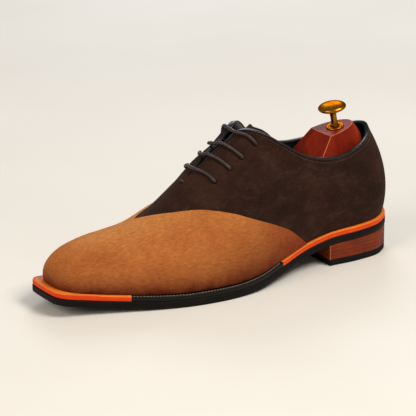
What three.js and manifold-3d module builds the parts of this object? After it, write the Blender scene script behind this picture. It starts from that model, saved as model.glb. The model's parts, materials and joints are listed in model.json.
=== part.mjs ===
// A man's left oxford shoe, welted, with a two-part wooden shoe tree in it.
// Working frame, mm: x runs from the tip of the toe back to the heel, -y is the outer side of the foot,
// +y the inner side, and z is up from the ground. The whole is centred over the origin at the end.
import * as THREE from "three";
import { mergeVertices } from "three/addons/utils/BufferGeometryUtils.js";
import Module from "manifold-3d";

const wasm = await Module();
wasm.setup();

// ---- Driving dimensions ----

const GAP = 0.3; // between pieces that touch on the real shoe
const RUNNING = 0.08; // radial clearance of a pin or rod that slides in its bore

const OUTSOLE = 5.6;
const WELT = 4;
const INSOLE = 3;
const SOCK_LINER = 0.9;
const FEATHER_LIFT = 0.9; // the upper's lower edge over the welt
const BREAST_X = 233.4; // front face of the heel
const TOP_PIECE = 4.9;
const LIFT = 2.7;
const HEEL_INSET = 0.4;

// Offsets of each leather layer from the upper's face, as [inner, outer].
const VAMP = [0.3, 1.7];
const QUARTERS = [-1.4, 0];
const FILLED = [-2.8, 0]; // under the vamp, ahead of the quarters
const STIFFENED = [-2.6, -1.8]; // under the quarters
const LINING = [-4.1, -3.1];
const TONGUE = [-10.9, -9.5];
const TONGUE_LINING = [-13.3, -12.3];
const TONGUE_END = 14; // how far it runs on past the facings
const TONGUE_ROUNDING = 0.3; // share of that lost at its corners
const TONGUE_FLATTENING = 0.25; // how its crown sinks for each mm of that
const TONGUE_CORE = 32; // depth under the ridge that the tongue's thickness is measured towards

// Stations along a side are numbered from 0 at the middle of the toe to 1 at the middle of the heel.
const THROAT = 0.48; // where the facings part
const STAY_END_OUTER = 0.685;
const STAY_END_INNER = 0.645;

// Edge of the welt: station, x, y.
const WELT_OUTER_SIDE = [
  [0, 0, 1], [0.035, 0.3, -9], [0.07, 2.4, -17.5], [0.09, 6, -21.5], [0.14, 22, -27], [0.22, 48, -36],
  [0.3, 75, -45.5], [0.38, 101, -52], [0.46, 128, -54.5], [0.54, 156, -52], [0.62, 183, -44], [0.7, 208, -37],
  [0.78, 233, -34.6], [0.86, 262, -34.8], [0.92, 284, -30], [0.965, 298, -17], [1, 304, 0],
];
const WELT_INNER_SIDE = [
  [0, 0, 1], [0.035, 0.2, 11], [0.07, 1.6, 19.5], [0.09, 5, 23.5], [0.14, 22, 28], [0.22, 48, 36],
  [0.3, 72, 42.5], [0.38, 95, 45.5], [0.46, 122, 41.5], [0.54, 150, 33], [0.62, 178, 27], [0.7, 205, 27],
  [0.78, 232, 30], [0.86, 262, 32.5], [0.92, 284, 29], [0.965, 298, 16.5], [1, 304, 0],
];
// Feather line, where the upper meets the welt: station, x, y.
const FEATHER_OUTER_SIDE = [
  [0, 8, 1], [0.035, 9, -8.5], [0.07, 13, -16], [0.09, 17, -19], [0.14, 29, -24], [0.22, 52, -32],
  [0.3, 77, -40.5], [0.38, 102, -46.5], [0.46, 128, -49], [0.54, 156, -47], [0.62, 183, -40], [0.7, 208, -34],
  [0.78, 233, -32], [0.86, 262, -31.7], [0.92, 283.5, -27], [0.965, 296, -15.5], [1, 301, 0],
];
const FEATHER_INNER_SIDE = [
  [0, 8, 1], [0.035, 9, 10.5], [0.07, 12.5, 18], [0.09, 16.5, 21.5], [0.14, 29, 26], [0.22, 52, 32.5],
  [0.3, 74, 38], [0.38, 97, 41], [0.46, 122, 37], [0.54, 150, 29.5], [0.62, 178, 24.5], [0.7, 205, 24.5],
  [0.78, 232, 27.5], [0.86, 262, 30], [0.92, 283, 26.5], [0.965, 295.5, 15], [1, 301, 0],
];
// Ridge from the toe to the throat: station, x, y, z.
const RIDGE = [
  [0, 40, 1.5, 48.4], [0.09, 44, 1, 49.2], [0.14, 49, 1, 49.9], [0.22, 62, 1, 51.1], [0.3, 79, 0, 54],
  [0.38, 98, 0, 62.2], [THROAT, 122, 0, 80.3],
];
// Facing edge, then the top line round to the heel: station, x, y, z.
const TOP_OUTER_SIDE = [
  [THROAT, 122, 0, 80.3], [0.54, 137, -3, 93], [0.62, 156, -6.5, 107.5], [0.66, 165, -9, 114],
  [0.685, 173, -14.5, 114], [0.7, 180, -19, 111.5], [0.73, 192, -24, 104], [0.78, 212, -27.5, 91.5],
  [0.82, 228, -28, 86], [0.86, 246, -27, 84.5], [0.92, 273, -18.5, 88.5], [0.965, 285.5, -9.5, 93.5],
  [1, 289.5, 0, 98.5],
];
const TOP_INNER_SIDE = [
  [THROAT, 122, 0, 80.3], [0.54, 136.5, 2, 93], [0.62, 156, 5, 107.5], [0.66, 166, 7, 114.5],
  [0.685, 173, 12, 114.5], [0.7, 179.5, 17, 110.5], [0.73, 191, 23, 101], [0.78, 211.5, 25.5, 90.5],
  [0.82, 228, 25.5, 86.5], [0.86, 246, 25, 86.5], [0.92, 273, 17.5, 92], [0.965, 284.5, 8.5, 98],
  [1, 289.5, 0, 98.5],
];
// How the wall leaves the feather line: station, degrees outward, pull in mm.
const ROOT_OUTER_SIDE = [
  [0, 13, 16], [0.09, 12, 16.5], [0.22, 8, 18], [0.38, 8, 22], [0.46, 8, 25], [0.54, 8, 32], [0.62, 8, 40],
  [0.66, 8, 44], [0.7, 8, 40], [0.78, 9, 28], [0.86, 11, 25], [0.92, 13, 27], [1, 14, 30],
];
const ROOT_INNER_SIDE = [
  [0, 13, 16], [0.07, 14, 16.5], [0.14, 14, 17.5], [0.22, 12, 18], [0.38, 10, 22], [0.46, 9.5, 25],
  [0.54, 9, 32], [0.62, 8.5, 40], [0.66, 8, 44], [0.7, 8, 40], [0.78, 9, 28], [0.86, 11, 25],
  [0.92, 13, 27], [1, 14, 30],
];
// How the wall comes away from the ridge or top line: station, degrees of rise, pull in mm.
const CROWN_OUTER_SIDE = [
  [0, 0, 17], [0.14, 0, 18], [0.22, 0, 18], [0.3, 0, 20], [0.38, 0, 22.5], [0.46, 0, 25], [0.54, -14, 28],
  [0.62, -24, 28], [0.66, -34, 28], [0.7, -68, 20], [0.78, -82, 16], [0.86, -84, 15], [0.92, -70, 17],
  [1, -58, 22],
];
const CROWN_INNER_SIDE = [
  [0, 0, 17], [0.14, 0, 18], [0.22, 0, 17.5], [0.3, 0, 18.5], [0.38, 0, 21], [0.46, 0, 25.5],
  [0.54, -6, 32], [0.6, -14, 30], [0.64, -26, 28], [0.67, -42, 26], [0.7, -60, 22], [0.78, -82, 16],
  [0.86, -84, 15], [0.92, -70, 17], [1, -58, 22],
];
// Underside of the outsole: x, z. It is flat on the ground under the ball.
const SOLE_LINE = [
  [0, 10], [30, 5.6], [60, 2.2], [90, 0.2], [125, -0.3], [155, 1.4], [185, 7], [212, 13], [234, 16.8],
  [270, 18.8], [304, 20.8],
];
// Vamp seam: height on the wall from 0 to 1, station.
const SEAM_OUTER_SIDE = [
  [0, 0.71], [0.11, 0.667], [0.35, 0.567], [0.55, 0.488], [0.75, 0.41], [0.89, 0.365], [1, 0.333],
];
const SEAM_INNER_SIDE = [
  [0, 0.71], [0.11, 0.667], [0.35, 0.56], [0.55, 0.46], [0.75, 0.358], [0.89, 0.318], [1, 0.333],
];
const SEAM_FOREMOST = 0.89; // height where the seam comes furthest forward
const SEAM_LAP = 0.03; // how far the quarters run on under the vamp, in stations
const TOE_PUFF_END = 0.19;
const LINING_JOIN = [0.472, 0.476]; // end of the vamp lining and start of the quarter lining
const WELT_TOE_END = 0.235;
const RAND_START = 0.62;

const BINDING_START = 0.57; // station where the facings have parted enough for bound edges
const LACE_RADIUS = 1;
const LACE_STEPS = 84;
// Lace holes from the throat up: station, height on the wall.
const LACE_OUTER_SIDE = [[0.514, 0.76], [0.56, 0.775], [0.603, 0.79], [0.665, 0.83]];
const LACE_INNER_SIDE = [[0.511, 0.78], [0.551, 0.79], [0.589, 0.8], [0.628, 0.81]];
const LACE_LAST_CROSSING = 0.65; // station where the top bar crosses the facing edges
const LACE_ROWS = LACE_OUTER_SIDE.length;
const LACE_HOLE = 2.35;
const EYELET_BORE = 2.3;
const EYELET_BARREL = 2.7;
const EYELET_FLANGE = 3.4;
const EYELET_HOLE = 3.1; // in the stays and the lining

// Shoe tree
const TREE_CLEAR = -5.8; // offset of the toe block's skin from the upper's face
const TOE_BLOCK_BACK = 110;
const TOE_BLOCK_SPLIT = [-1.4, 1.4]; // faces of the slot between the halves, y
const PIVOT = new THREE.Vector3(121, 0, 47);
const ARM_ANGLE = THREE.MathUtils.degToRad(6); // of the tube above level
const TUBE_RADIUS = 4.4;
const TUBE_BORE = 3.3;
const TUBE_LENGTH = 62;
const ROD_START = 36;
const ROD_END = 126;
const HINGE_PIN = 1.5;
const GUIDE_PIN = 2;
const HEEL_BLOCK_Y = 0;
const HEEL_BLOCK_HALF = 19.4;
const PLATEAU_TILT = THREE.MathUtils.degToRad(11);
const KNOB_SEAT = new THREE.Vector3(259.6, -1, 99.9);

// Grid of the upper: stations along a side, and heights up the wall.
const STATIONS = [
  0, 0.035, 0.07, 0.11, 0.15, TOE_PUFF_END, 0.195, 0.24, 0.29, 0.34, 0.385, 0.43, ...LINING_JOIN, THROAT,
  0.51, 0.545, 0.58, 0.615, STAY_END_INNER, 0.67, STAY_END_OUTER, 0.7, 0.73, 0.77, 0.82, 0.87, 0.92, 0.95,
  0.975, 1,
];
const HEIGHTS = [0, 0.14, 0.33, 0.53, 0.72, 0.88, 1];

// ---- Curves through stations ----

function slopeAt(rows, j, column) {
  const rise = (a, b) => (rows[b][column] - rows[a][column]) / (rows[b][0] - rows[a][0]);
  if (j === 0) return rise(0, 1);
  if (j === rows.length - 1) return rise(j - 1, j);
  const before = rows[j][0] - rows[j - 1][0];
  const after = rows[j + 1][0] - rows[j][0];
  return (rise(j - 1, j) * after + rise(j, j + 1) * before) / (before + after);
}

// The smooth curve through rows of [t, value, value, ...], at t.
function curveAt(rows, t) {
  const last = rows.length - 1;
  const at = THREE.MathUtils.clamp(t, rows[0][0], rows[last][0]);
  let i = 0;
  while (i < last - 1 && at >= rows[i + 1][0]) i += 1;
  const width = rows[i + 1][0] - rows[i][0];
  const s = (at - rows[i][0]) / width;
  return rows[i].slice(1).map((from, k) => {
    const to = rows[i + 1][k + 1];
    const out = slopeAt(rows, i, k + 1) * width;
    const into = slopeAt(rows, i + 1, k + 1) * width;
    return (
      (2 * s ** 3 - 3 * s ** 2 + 1) * from + (s ** 3 - 2 * s ** 2 + s) * out +
      (3 * s ** 2 - 2 * s ** 3) * to + (s ** 3 - s ** 2) * into
    );
  });
}

// The two sides as one run, t = station on the outer side and 2 - station on the inner side.
function bothSides(outerSide, innerSide) {
  const back = innerSide.map(([station, ...values]) => [2 - station, ...values]).reverse();
  return outerSide.concat(back.slice(1));
}

// The same run closed on itself at the toe.
function closedRun(outerSide, innerSide) {
  const run = bothSides(outerSide, innerSide).slice(0, -1);
  const shifted = (rows, by) => rows.map(([t, ...values]) => [t + by, ...values]);
  return shifted(run.slice(-3), -2).concat(run, shifted(run.slice(0, 3), 2));
}

const weltRun = closedRun(WELT_OUTER_SIDE, WELT_INNER_SIDE);
const featherRun = closedRun(FEATHER_OUTER_SIDE, FEATHER_INNER_SIDE);
const topRun = bothSides(TOP_OUTER_SIDE, TOP_INNER_SIDE);
const rootRun = bothSides(ROOT_OUTER_SIDE, ROOT_INNER_SIDE);
const crownRun = bothSides(CROWN_OUTER_SIDE, CROWN_INNER_SIDE);

const wrap = (t) => ((t % 2) + 2) % 2;
const stationOf = (t) => Math.min(wrap(t), 2 - wrap(t));
const soleZ = (x) => Math.max(0, curveAt(SOLE_LINE, x)[0]);
const deckZ = (x) => soleZ(x) + OUTSOLE + WELT;

// A point of a closed plan run, moved inward by inset.
function planPoint(run, t, inset) {
  const [x, y] = curveAt(run, wrap(t));
  const [xa, ya] = curveAt(run, wrap(t) - 0.002);
  const [xb, yb] = curveAt(run, wrap(t) + 0.002);
  const length = Math.hypot(xb - xa, yb - ya);
  return new THREE.Vector2(x - (inset * (yb - ya)) / length, y + (inset * (xb - xa)) / length);
}

// ---- The upper's face ----

function topPoint(t) {
  const station = stationOf(t);
  if (station <= THROAT) return new THREE.Vector3(...curveAt(RIDGE, station));
  return new THREE.Vector3(...curveAt(topRun, wrap(t)));
}

function facePoint(t, height) {
  const at = wrap(t);
  const [x, y] = curveAt(featherRun, at);
  const base = new THREE.Vector3(x, y, deckZ(x) + FEATHER_LIFT);
  const inward = planPoint(featherRun, at, 1).sub(new THREE.Vector2(x, y));
  const top = topPoint(at);
  const ahead = topPoint(at + 0.002);
  const behind = topPoint(at - 0.002);
  const fade = THREE.MathUtils.clamp((0.66 - stationOf(at)) / 0.14, 0, 1);
  const run = ahead.x - behind.x;
  const slope = Math.abs(run) > 1e-6 ? (fade * (ahead.z - behind.z)) / run : 0;
  const [lean, rootPull] = curveAt(rootRun, at);
  const [rise, crownPull] = curveAt(crownRun, at);
  const a = THREE.MathUtils.degToRad(lean);
  const b = THREE.MathUtils.degToRad(rise);
  const root = new THREE.Vector3(-inward.x * Math.sin(a), -inward.y * Math.sin(a), Math.cos(a));
  const out = new THREE.Vector2(x - top.x, y - top.y).normalize();
  const crown = new THREE.Vector3(
    out.x * Math.cos(b), out.y * Math.cos(b), Math.sin(b) + Math.cos(b) * out.x * slope,
  ).normalize();
  const wall = new THREE.CubicBezierCurve3(
    base, base.clone().addScaledVector(root, rootPull), top.clone().addScaledVector(crown, crownPull), top,
  );
  return wall.getPoint(height);
}

function faceNormal(t, height) {
  const h = THREE.MathUtils.clamp(height, 0.02, 0.97);
  const along = facePoint(t + 0.004, h).sub(facePoint(t - 0.004, h));
  const up = facePoint(t, h + 0.01).sub(facePoint(t, h - 0.01));
  const normal = along.cross(up).normalize();
  if (height < 1 || stationOf(t) > THROAT) return normal;
  const other = 2 - wrap(t);
  const alongOther = facePoint(other + 0.004, h).sub(facePoint(other - 0.004, h));
  const upOther = facePoint(other, h + 0.01).sub(facePoint(other, h - 0.01));
  return normal.add(alongOther.cross(upOther).normalize()).normalize();
}

const layerPoint = (t, height, offset) => facePoint(t, height).addScaledVector(faceNormal(t, height), offset);

// ---- Meshes and joins ----

const shoe = new THREE.Group();

// A closed geometry from a list of triangles, dropping those with no area.
function geometryOf(triangles) {
  const soup = new THREE.BufferGeometry();
  const places = triangles.flatMap((point) => [point.x, point.y, point.z]);
  soup.setAttribute("position", new THREE.Float32BufferAttribute(places, 3));
  const merged = mergeVertices(soup, 1e-3);
  const index = [];
  for (let i = 0; i < merged.index.count; i += 3) {
    const [a, b, c] = [0, 1, 2].map((k) => merged.index.getX(i + k));
    if (a !== b && b !== c && c !== a) index.push(a, b, c);
  }
  merged.setIndex(index);
  return merged;
}

function solidOf(geometry) {
  const bare = geometry.clone();
  bare.deleteAttribute("normal");
  bare.deleteAttribute("uv");
  const merged = mergeVertices(bare, 1e-4);
  return new wasm.Manifold(new wasm.Mesh({
    numProp: 3,
    vertProperties: new Float32Array(merged.attributes.position.array),
    triVerts: new Uint32Array(merged.index.array),
  }));
}

function geometryFrom(solid) {
  const mesh = solid.getMesh();
  const geometry = new THREE.BufferGeometry();
  geometry.setAttribute("position", new THREE.BufferAttribute(new Float32Array(mesh.vertProperties), 3));
  geometry.setIndex(new THREE.BufferAttribute(new Uint32Array(mesh.triVerts), 1));
  return geometry;
}

const cut = (geometry, tools) =>
  geometryFrom(tools.reduce((solid, tool) => solid.subtract(solidOf(tool)), solidOf(geometry)));
const join = (pieces) =>
  geometryFrom(pieces.slice(1).reduce((solid, piece) => solid.add(solidOf(piece)), solidOf(pieces[0])));

function addPiece(name, geometry, material) {
  const shaded = geometry.index ? geometry.toNonIndexed() : geometry;
  shaded.computeVertexNormals();
  const mesh = new THREE.Mesh(shaded, new THREE.MeshStandardMaterial(material));
  mesh.name = name;
  shoe.add(mesh);
}

// A skin over a run of rings, each the same number of points round. Its ends are closed by rungs from the
// first half of a ring to the second, so a ring runs out along one side and back along the other.
function loft(rings) {
  const triangles = [];
  const around = rings[0].length;
  for (let i = 0; i < rings.length - 1; i += 1) {
    const [here, next] = [rings[i], rings[i + 1]];
    for (let j = 0; j < around; j += 1) {
      const k = (j + 1) % around;
      triangles.push(here[j], here[k], next[k], here[j], next[k], next[j]);
    }
  }
  const [first, last] = [rings[0], rings[rings.length - 1]];
  for (let j = 0; j <= (around - 3) / 2; j += 1) {
    const [a, b, c, d] = [j, j + 1, around - 2 - j, around - 1 - j];
    triangles.push(last[a], last[b], last[c], last[a], last[c], last[d]);
    triangles.push(first[a], first[c], first[b], first[a], first[d], first[c]);
  }
  return geometryOf(triangles);
}

// A cylinder from one point to another.
function rodBetween(from, to, radius, sides = 12) {
  const geometry = new THREE.CylinderGeometry(radius, radius, from.distanceTo(to), sides);
  const direction = to.clone().sub(from).normalize();
  const turn = new THREE.Quaternion().setFromUnitVectors(new THREE.Vector3(0, 1, 0), direction);
  geometry.applyQuaternion(turn);
  geometry.translate(...from.clone().add(to).multiplyScalar(0.5).toArray());
  return geometry;
}

function boxBetween(low, high) {
  const size = high.map((value, k) => value - low[k]);
  const geometry = new THREE.BoxGeometry(...size);
  geometry.translate(...high.map((value, k) => (value + low[k]) / 2));
  return geometry;
}

// ---- Layers of the upper ----

const columns = STATIONS.concat(STATIONS.slice(1, -1).reverse().map((station) => 2 - station));

// The layer between two offsets over every grid cell that passes the test, given its near corner (station,
// height), its far corner (end, above) and its side.
function layer([inner, outer], covers) {
  const rows = HEIGHTS.length;
  const keyOf = (column, row) => {
    const t = columns[column];
    const shared = row === rows - 1 && stationOf(t) <= THROAT;
    return shared ? Math.round(stationOf(t) * 1e4) * rows + row : Math.round(t * 1e4) * rows + row;
  };
  const points = new Map();
  const pointAt = (key, column, row, offset) => {
    const name = key + "/" + offset;
    if (!points.has(name)) points.set(name, layerPoint(columns[column], HEIGHTS[row], offset));
    return points.get(name);
  };
  const corners = new Map();
  const edges = new Map();
  const triangles = [];
  for (let column = 0; column < columns.length; column += 1) {
    const next = (column + 1) % columns.length;
    const ends = [stationOf(columns[column]), stationOf(columns[next])];
    const side = columns[column] < 1 ? -1 : 1;
    for (let row = 0; row < rows - 1; row += 1) {
      const station = Math.min(...ends);
      const end = Math.max(...ends);
      if (!covers({ station, end, height: HEIGHTS[row], above: HEIGHTS[row + 1], side })) continue;
      const cell = [[column, row], [next, row], [next, row + 1], [column, row + 1]];
      const keys = cell.map(([c, r]) => keyOf(c, r));
      const outerPoints = cell.map(([c, r], k) => pointAt(keys[k], c, r, outer));
      const innerPoints = cell.map(([c, r], k) => pointAt(keys[k], c, r, inner));
      const [a, b, c, d] = outerPoints;
      const [e, f, g, h] = innerPoints;
      triangles.push(a, b, c, a, c, d, e, g, f, e, h, g);
      keys.forEach((key, k) => {
        corners.set(key, [outerPoints[k], innerPoints[k]]);
        const following = keys[(k + 1) % keys.length];
        if (key === following) return;
        if (!edges.delete(following + ">" + key)) edges.set(key + ">" + following, [key, following]);
      });
    }
  }
  for (const [from, to] of edges.values()) {
    const [fromOuter, fromInner] = corners.get(from);
    const [toOuter, toInner] = corners.get(to);
    triangles.push(toOuter, fromOuter, fromInner, toOuter, fromInner, toInner);
  }
  return geometryOf(triangles);
}

const seamStation = (height, side) => curveAt(side < 0 ? SEAM_OUTER_SIDE : SEAM_INNER_SIDE, height)[0];

// What the vamp loses on one side: a slab across its thickness, from the seam line back over the quarters.
function seamCutter(side) {
  const rows = 13;
  const spans = 3;
  const depth = 0.12; // in stations
  const [inner, outer] = [-1, 5];
  const place = (row, span, offset) => {
    const height = THREE.MathUtils.lerp(-0.04, 1.04, row / (rows - 1));
    const station = seamStation(THREE.MathUtils.clamp(height, 0, 1), side) + (depth * span) / spans;
    const t = side < 0 ? station : 2 - station;
    return facePoint(t, height).addScaledVector(faceNormal(t, Math.min(height, 0.99)), offset);
  };
  const rings = [];
  for (let row = 0; row < rows; row += 1) {
    const ring = [];
    for (let span = 0; span <= spans; span += 1) ring.push(place(row, span, outer));
    for (let span = spans; span >= 0; span -= 1) ring.push(place(row, span, inner));
    rings.push(side < 0 ? ring : ring.reverse());
  }
  return loft(rings);
}

// A point on the facets of a layer, between the four grid corners round it.
function facetPoint(t, height, offset) {
  const column = columns.findLastIndex((corner) => corner <= t);
  const row = Math.min(HEIGHTS.findLastIndex((level) => level <= height), HEIGHTS.length - 2);
  const [near, far] = [columns[column], columns[(column + 1) % columns.length]];
  const [low, high] = [HEIGHTS[row], HEIGHTS[row + 1]];
  const across = (t - near) / (far - near);
  const edge = (level) => layerPoint(near, level, offset).lerp(layerPoint(far, level, offset), across);
  return edge(low).lerp(edge(high), (height - low) / (high - low));
}

// A point near one lace hole, moved along the side and up the wall from its centre: side -1 outer, 1 inner.
function holePoint(side, row, offset, along = 0, up = 0) {
  const [station, height] = (side < 0 ? LACE_OUTER_SIDE : LACE_INNER_SIDE)[row];
  const at = station + along;
  return facetPoint(side < 0 ? at : 2 - at, height + up, offset);
}

const laceHoles = [-1, 1].flatMap((side) => LACE_OUTER_SIDE.map((_, row) => ({ side, row })));
const holeCutters = (radius, sides) =>
  laceHoles.map(({ side, row }) => {
    const [below, above] = [-6, 2].map((offset) => holePoint(side, row, offset));
    return rodBetween(below, above, radius, sides);
  });

const SUEDE_DARK = { color: 0x30201a, roughness: 0.95, metalness: 0 };
const SUEDE_TAN = { color: 0xb06a34, roughness: 0.9, metalness: 0 };
const LINING_BLACK = { color: 0x16161a, roughness: 0.6, metalness: 0 };
const FIBRE = { color: 0x9a8a70, roughness: 0.9, metalness: 0 };

const vamp = layer(VAMP, ({ station, height, above, side }) =>
  station < Math.max(seamStation(height, side), seamStation(above, side)));
addPiece("vamp", cut(vamp, [-1, 1].map(seamCutter)), SUEDE_TAN);
const quarters = layer(QUARTERS, ({ station, height, above, side }) =>
  station > Math.min(seamStation(height, side), seamStation(above, side)) - SEAM_LAP);
addPiece("quarters", cut(quarters, holeCutters(LACE_HOLE, 8)), SUEDE_DARK);
addPiece("toe_puff", layer(FILLED, ({ end }) => end <= TOE_PUFF_END), FIBRE);
const interlining = layer(FILLED, ({ station, end, height, above, side }) => {
  const seams = [height, Math.min(above + 0.2, SEAM_FOREMOST)].map((level) => seamStation(level, side));
  return station > TOE_PUFF_END && end < Math.min(...seams) - SEAM_LAP;
});
addPiece("vamp_interlining", interlining, FIBRE);
addPiece("heel_counter", layer(STIFFENED, ({ station, above }) => station > 0.76 && above <= 0.72), FIBRE);
for (const side of [-1, 1]) {
  const last = side < 0 ? STAY_END_OUTER : STAY_END_INNER;
  const stay = layer(STIFFENED, (cell) =>
    cell.side === side && cell.station >= THROAT && cell.end <= last && cell.height >= 0.53);
  const name = side < 0 ? "facing_stay_outer" : "facing_stay_inner";
  addPiece(name, cut(stay, holeCutters(EYELET_HOLE, 8)), FIBRE);
}
addPiece("vamp_lining", layer(LINING, ({ end }) => end <= LINING_JOIN[0]), LINING_BLACK);
const quarterLining = layer(LINING, ({ station }) => station >= LINING_JOIN[1]);
addPiece("quarter_lining", cut(quarterLining, holeCutters(EYELET_HOLE, 8)), LINING_BLACK);

// The binding rolls over the facing edges and the top line in one run.
function collarBinding() {
  const section = [[-2.3, 0.4], [-2.3, 0.9], [-1.3, 1.6], [1.3, 1.6], [2.3, 0.9], [2.3, 0.4]];
  const middle = (LINING[0] + QUARTERS[1]) / 2;
  const run = [];
  columns.forEach((t) => {
    if (stationOf(t) > BINDING_START) run.push(t);
  });
  const rings = run.map((t) => {
    const normal = faceNormal(t, 1);
    const up = facePoint(t, 1).sub(facePoint(t, 0.99)).normalize();
    const centre = layerPoint(t, 1, middle);
    return section.map(([across, rise]) =>
      centre.clone().addScaledVector(normal, across).addScaledVector(up, rise));
  });
  return loft(rings);
}
addPiece("collar_binding", collarBinding(), LINING_BLACK);

// The tongue lies under the facings and stands a little above them.
function tongueLayer([inner, outer], crown, width) {
  const stations = [0.455, 0.48, 0.51, 0.54, 0.57, 0.6, 0.63, 0.66];
  const heights = [1 - width, 1 - width * 0.66, 1 - width * 0.33];
  const section = (station, offset) => {
    const middle = topPoint(station).add(topPoint(2 - station)).multiplyScalar(0.5);
    const core = middle.clone().addScaledVector(new THREE.Vector3(0.6, 0, -0.8), TONGUE_CORE);
    const sunk = (point, depth) => point.addScaledVector(core.clone().sub(point).normalize(), depth);
    const line = (t) => heights.map((height) => sunk(facePoint(t, height), -offset));
    return [...line(station), sunk(middle, -offset - crown), ...line(2 - station).reverse()];
  };
  const moved = (points, by) => points.map((point, k) => {
    const edge = (k - 3) / 3;
    const step = new THREE.Vector3(0.8 + 0.4 * edge ** 2, 0.25 * edge, 0.6 + 0.45 * edge ** 2);
    const end = point.clone().addScaledVector(step, by * (1 - TONGUE_ROUNDING * edge ** 2));
    if (k === 3) end.z -= TONGUE_FLATTENING * by;
    return end;
  });
  const rows = (offset) => {
    const list = stations.map((station) => section(station, offset));
    const last = list[list.length - 1];
    return list.concat([moved(last, TONGUE_END / 2), moved(last, TONGUE_END)]);
  };
  const [low, high] = [rows(inner), rows(outer)];
  return loft(low.map((row, k) => high[k].concat([...row].reverse())).map((ring) => ring.reverse()));
}
addPiece("tongue", tongueLayer(TONGUE, 2.5, 0.23), SUEDE_DARK);
addPiece("tongue_lining", tongueLayer(TONGUE_LINING, 2.5, 0.23), LINING_BLACK);

function barTack() {
  const geometry = new THREE.CapsuleGeometry(0.7, 4, 2, 6);
  const seat = layerPoint(THROAT - 0.006, 1, 0.7 + GAP);
  geometry.translate(...seat.toArray());
  return geometry;
}
addPiece("throat_bar_tack", barTack(), SUEDE_DARK);

// ---- Eyelets and lace ----

function eyelet(side, row) {
  const top = STIFFENED[0] - GAP;
  const under = LINING[0] - 2 * GAP;
  const profile = [
    [EYELET_BORE, under - 0.5], [EYELET_FLANGE, under - 0.5], [EYELET_FLANGE, under], [EYELET_BARREL, under],
    [EYELET_BARREL, top], [EYELET_BORE, top], [EYELET_BORE, under - 0.5],
  ];
  const geometry = new THREE.LatheGeometry(profile.map((p) => new THREE.Vector2(...p)), 8);
  const from = holePoint(side, row, 0);
  const normal = holePoint(side, row, 1).sub(from).normalize();
  geometry.applyQuaternion(new THREE.Quaternion().setFromUnitVectors(new THREE.Vector3(0, 1, 0), normal));
  geometry.translate(...from.toArray());
  return geometry;
}
for (const { side, row } of laceHoles) {
  const name = "eyelet_" + (side < 0 ? "outer_" : "inner_") + (row + 1);
  addPiece(name, eyelet(side, row), { color: 0x8a8580, roughness: 0.35, metalness: 1 });
}

// Straight bars over the facings, joined by runs under them, with both ends tucked inside.
function laceRoute() {
  const over = LACE_RADIUS + 0.8;
  const under = -6.9;
  const down = (side, row) => [1, -1, -3, -5.9].map((offset) => holePoint(side, row, offset));
  const up = (side, row) => down(side, row).reverse();
  const bar = (side, row) => {
    const nearEdge = (s) => [0.07, 0.14].map((up) => holePoint(s, row, over, 0, up));
    const atEdge = (s) => {
      const [station, height] = (s < 0 ? LACE_OUTER_SIDE : LACE_INNER_SIDE)[row];
      const crossing = row < LACE_ROWS - 1 ? station : LACE_LAST_CROSSING;
      return holePoint(s, row, over + 1.3, crossing - station, 1 - height);
    };
    const ends = [atEdge(side), atEdge(-side)];
    const middle = ends[0].clone().add(ends[1]).multiplyScalar(0.5);
    const crossing = row === 0 ? [middle] : [ends[0], middle, ends[1]];
    return [...nearEdge(side), ...crossing, ...nearEdge(-side).reverse()];
  };
  const tail = (side, row, along) => [
    holePoint(side, row, under, 0.3 * along, -0.03), holePoint(side, row, under, 0.8 * along, -0.11),
    holePoint(side, row, under - 0.6, along, -0.21),
  ];
  const route = tail(1, 0, 0.014).reverse();
  let side = 1;
  for (let row = 0; row < LACE_ROWS; row += 1) {
    route.push(...up(side, row), ...bar(side, row), ...down(-side, row));
    side = -side;
    if (row < LACE_ROWS - 1) {
      const between = holePoint(side, row, under).add(holePoint(side, row + 1, under)).multiplyScalar(0.5);
      route.push(between);
    }
  }
  return route.concat(tail(side, LACE_ROWS - 1, -0.03));
}

function roundSection(radius, sides) {
  const section = new THREE.Shape();
  for (let k = 0; k < sides; k += 1) {
    const angle = (2 * Math.PI * k) / sides;
    if (k === 0) section.moveTo(radius, 0);
    else section.lineTo(radius * Math.cos(angle), radius * Math.sin(angle));
  }
  section.closePath();
  return section;
}

function tubeAlong(path, radius, steps, sides) {
  return new THREE.ExtrudeGeometry(roundSection(radius, sides), {
    steps, extrudePath: path, bevelEnabled: false, curveSegments: 1,
  });
}

const route = laceRoute();
const lacePath = new THREE.CatmullRomCurve3(route, false, "centripetal");
const LACE_LOOK = { color: 0x3c2a26, roughness: 0.7, metalness: 0 };
addPiece("lace", tubeAlong(lacePath, LACE_RADIUS, LACE_STEPS, 6), LACE_LOOK);
[[route[0], route[1]], [route[route.length - 1], route[route.length - 2]]].forEach(([end, before], k) => {
  const direction = end.clone().sub(before).normalize();
  const from = end.clone().addScaledVector(direction, GAP);
  const tip = rodBetween(from, from.clone().addScaledVector(direction, 10), LACE_RADIUS + 0.15, 8);
  addPiece("aglet_" + (k + 1), tip, LACE_LOOK);
});

// ---- Bottom and heel ----

// A flat or sprung sheet inside a closed plan run, between two heights that depend on x.
function sheet(run, inset, fromStation, toStation, lowZ, highZ, steps = 30) {
  const rings = [];
  for (let k = 0; k <= steps; k += 1) {
    const station = THREE.MathUtils.lerp(fromStation, toStation, k / steps);
    const outer = planPoint(run, station, inset);
    const inner = planPoint(run, 2 - station, inset);
    const at = (plan, height) => new THREE.Vector3(plan.x, plan.y, height(plan.x));
    rings.push([at(outer, lowZ), at(inner, lowZ), at(inner, highZ), at(outer, highZ)]);
  }
  return loft(rings);
}

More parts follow.
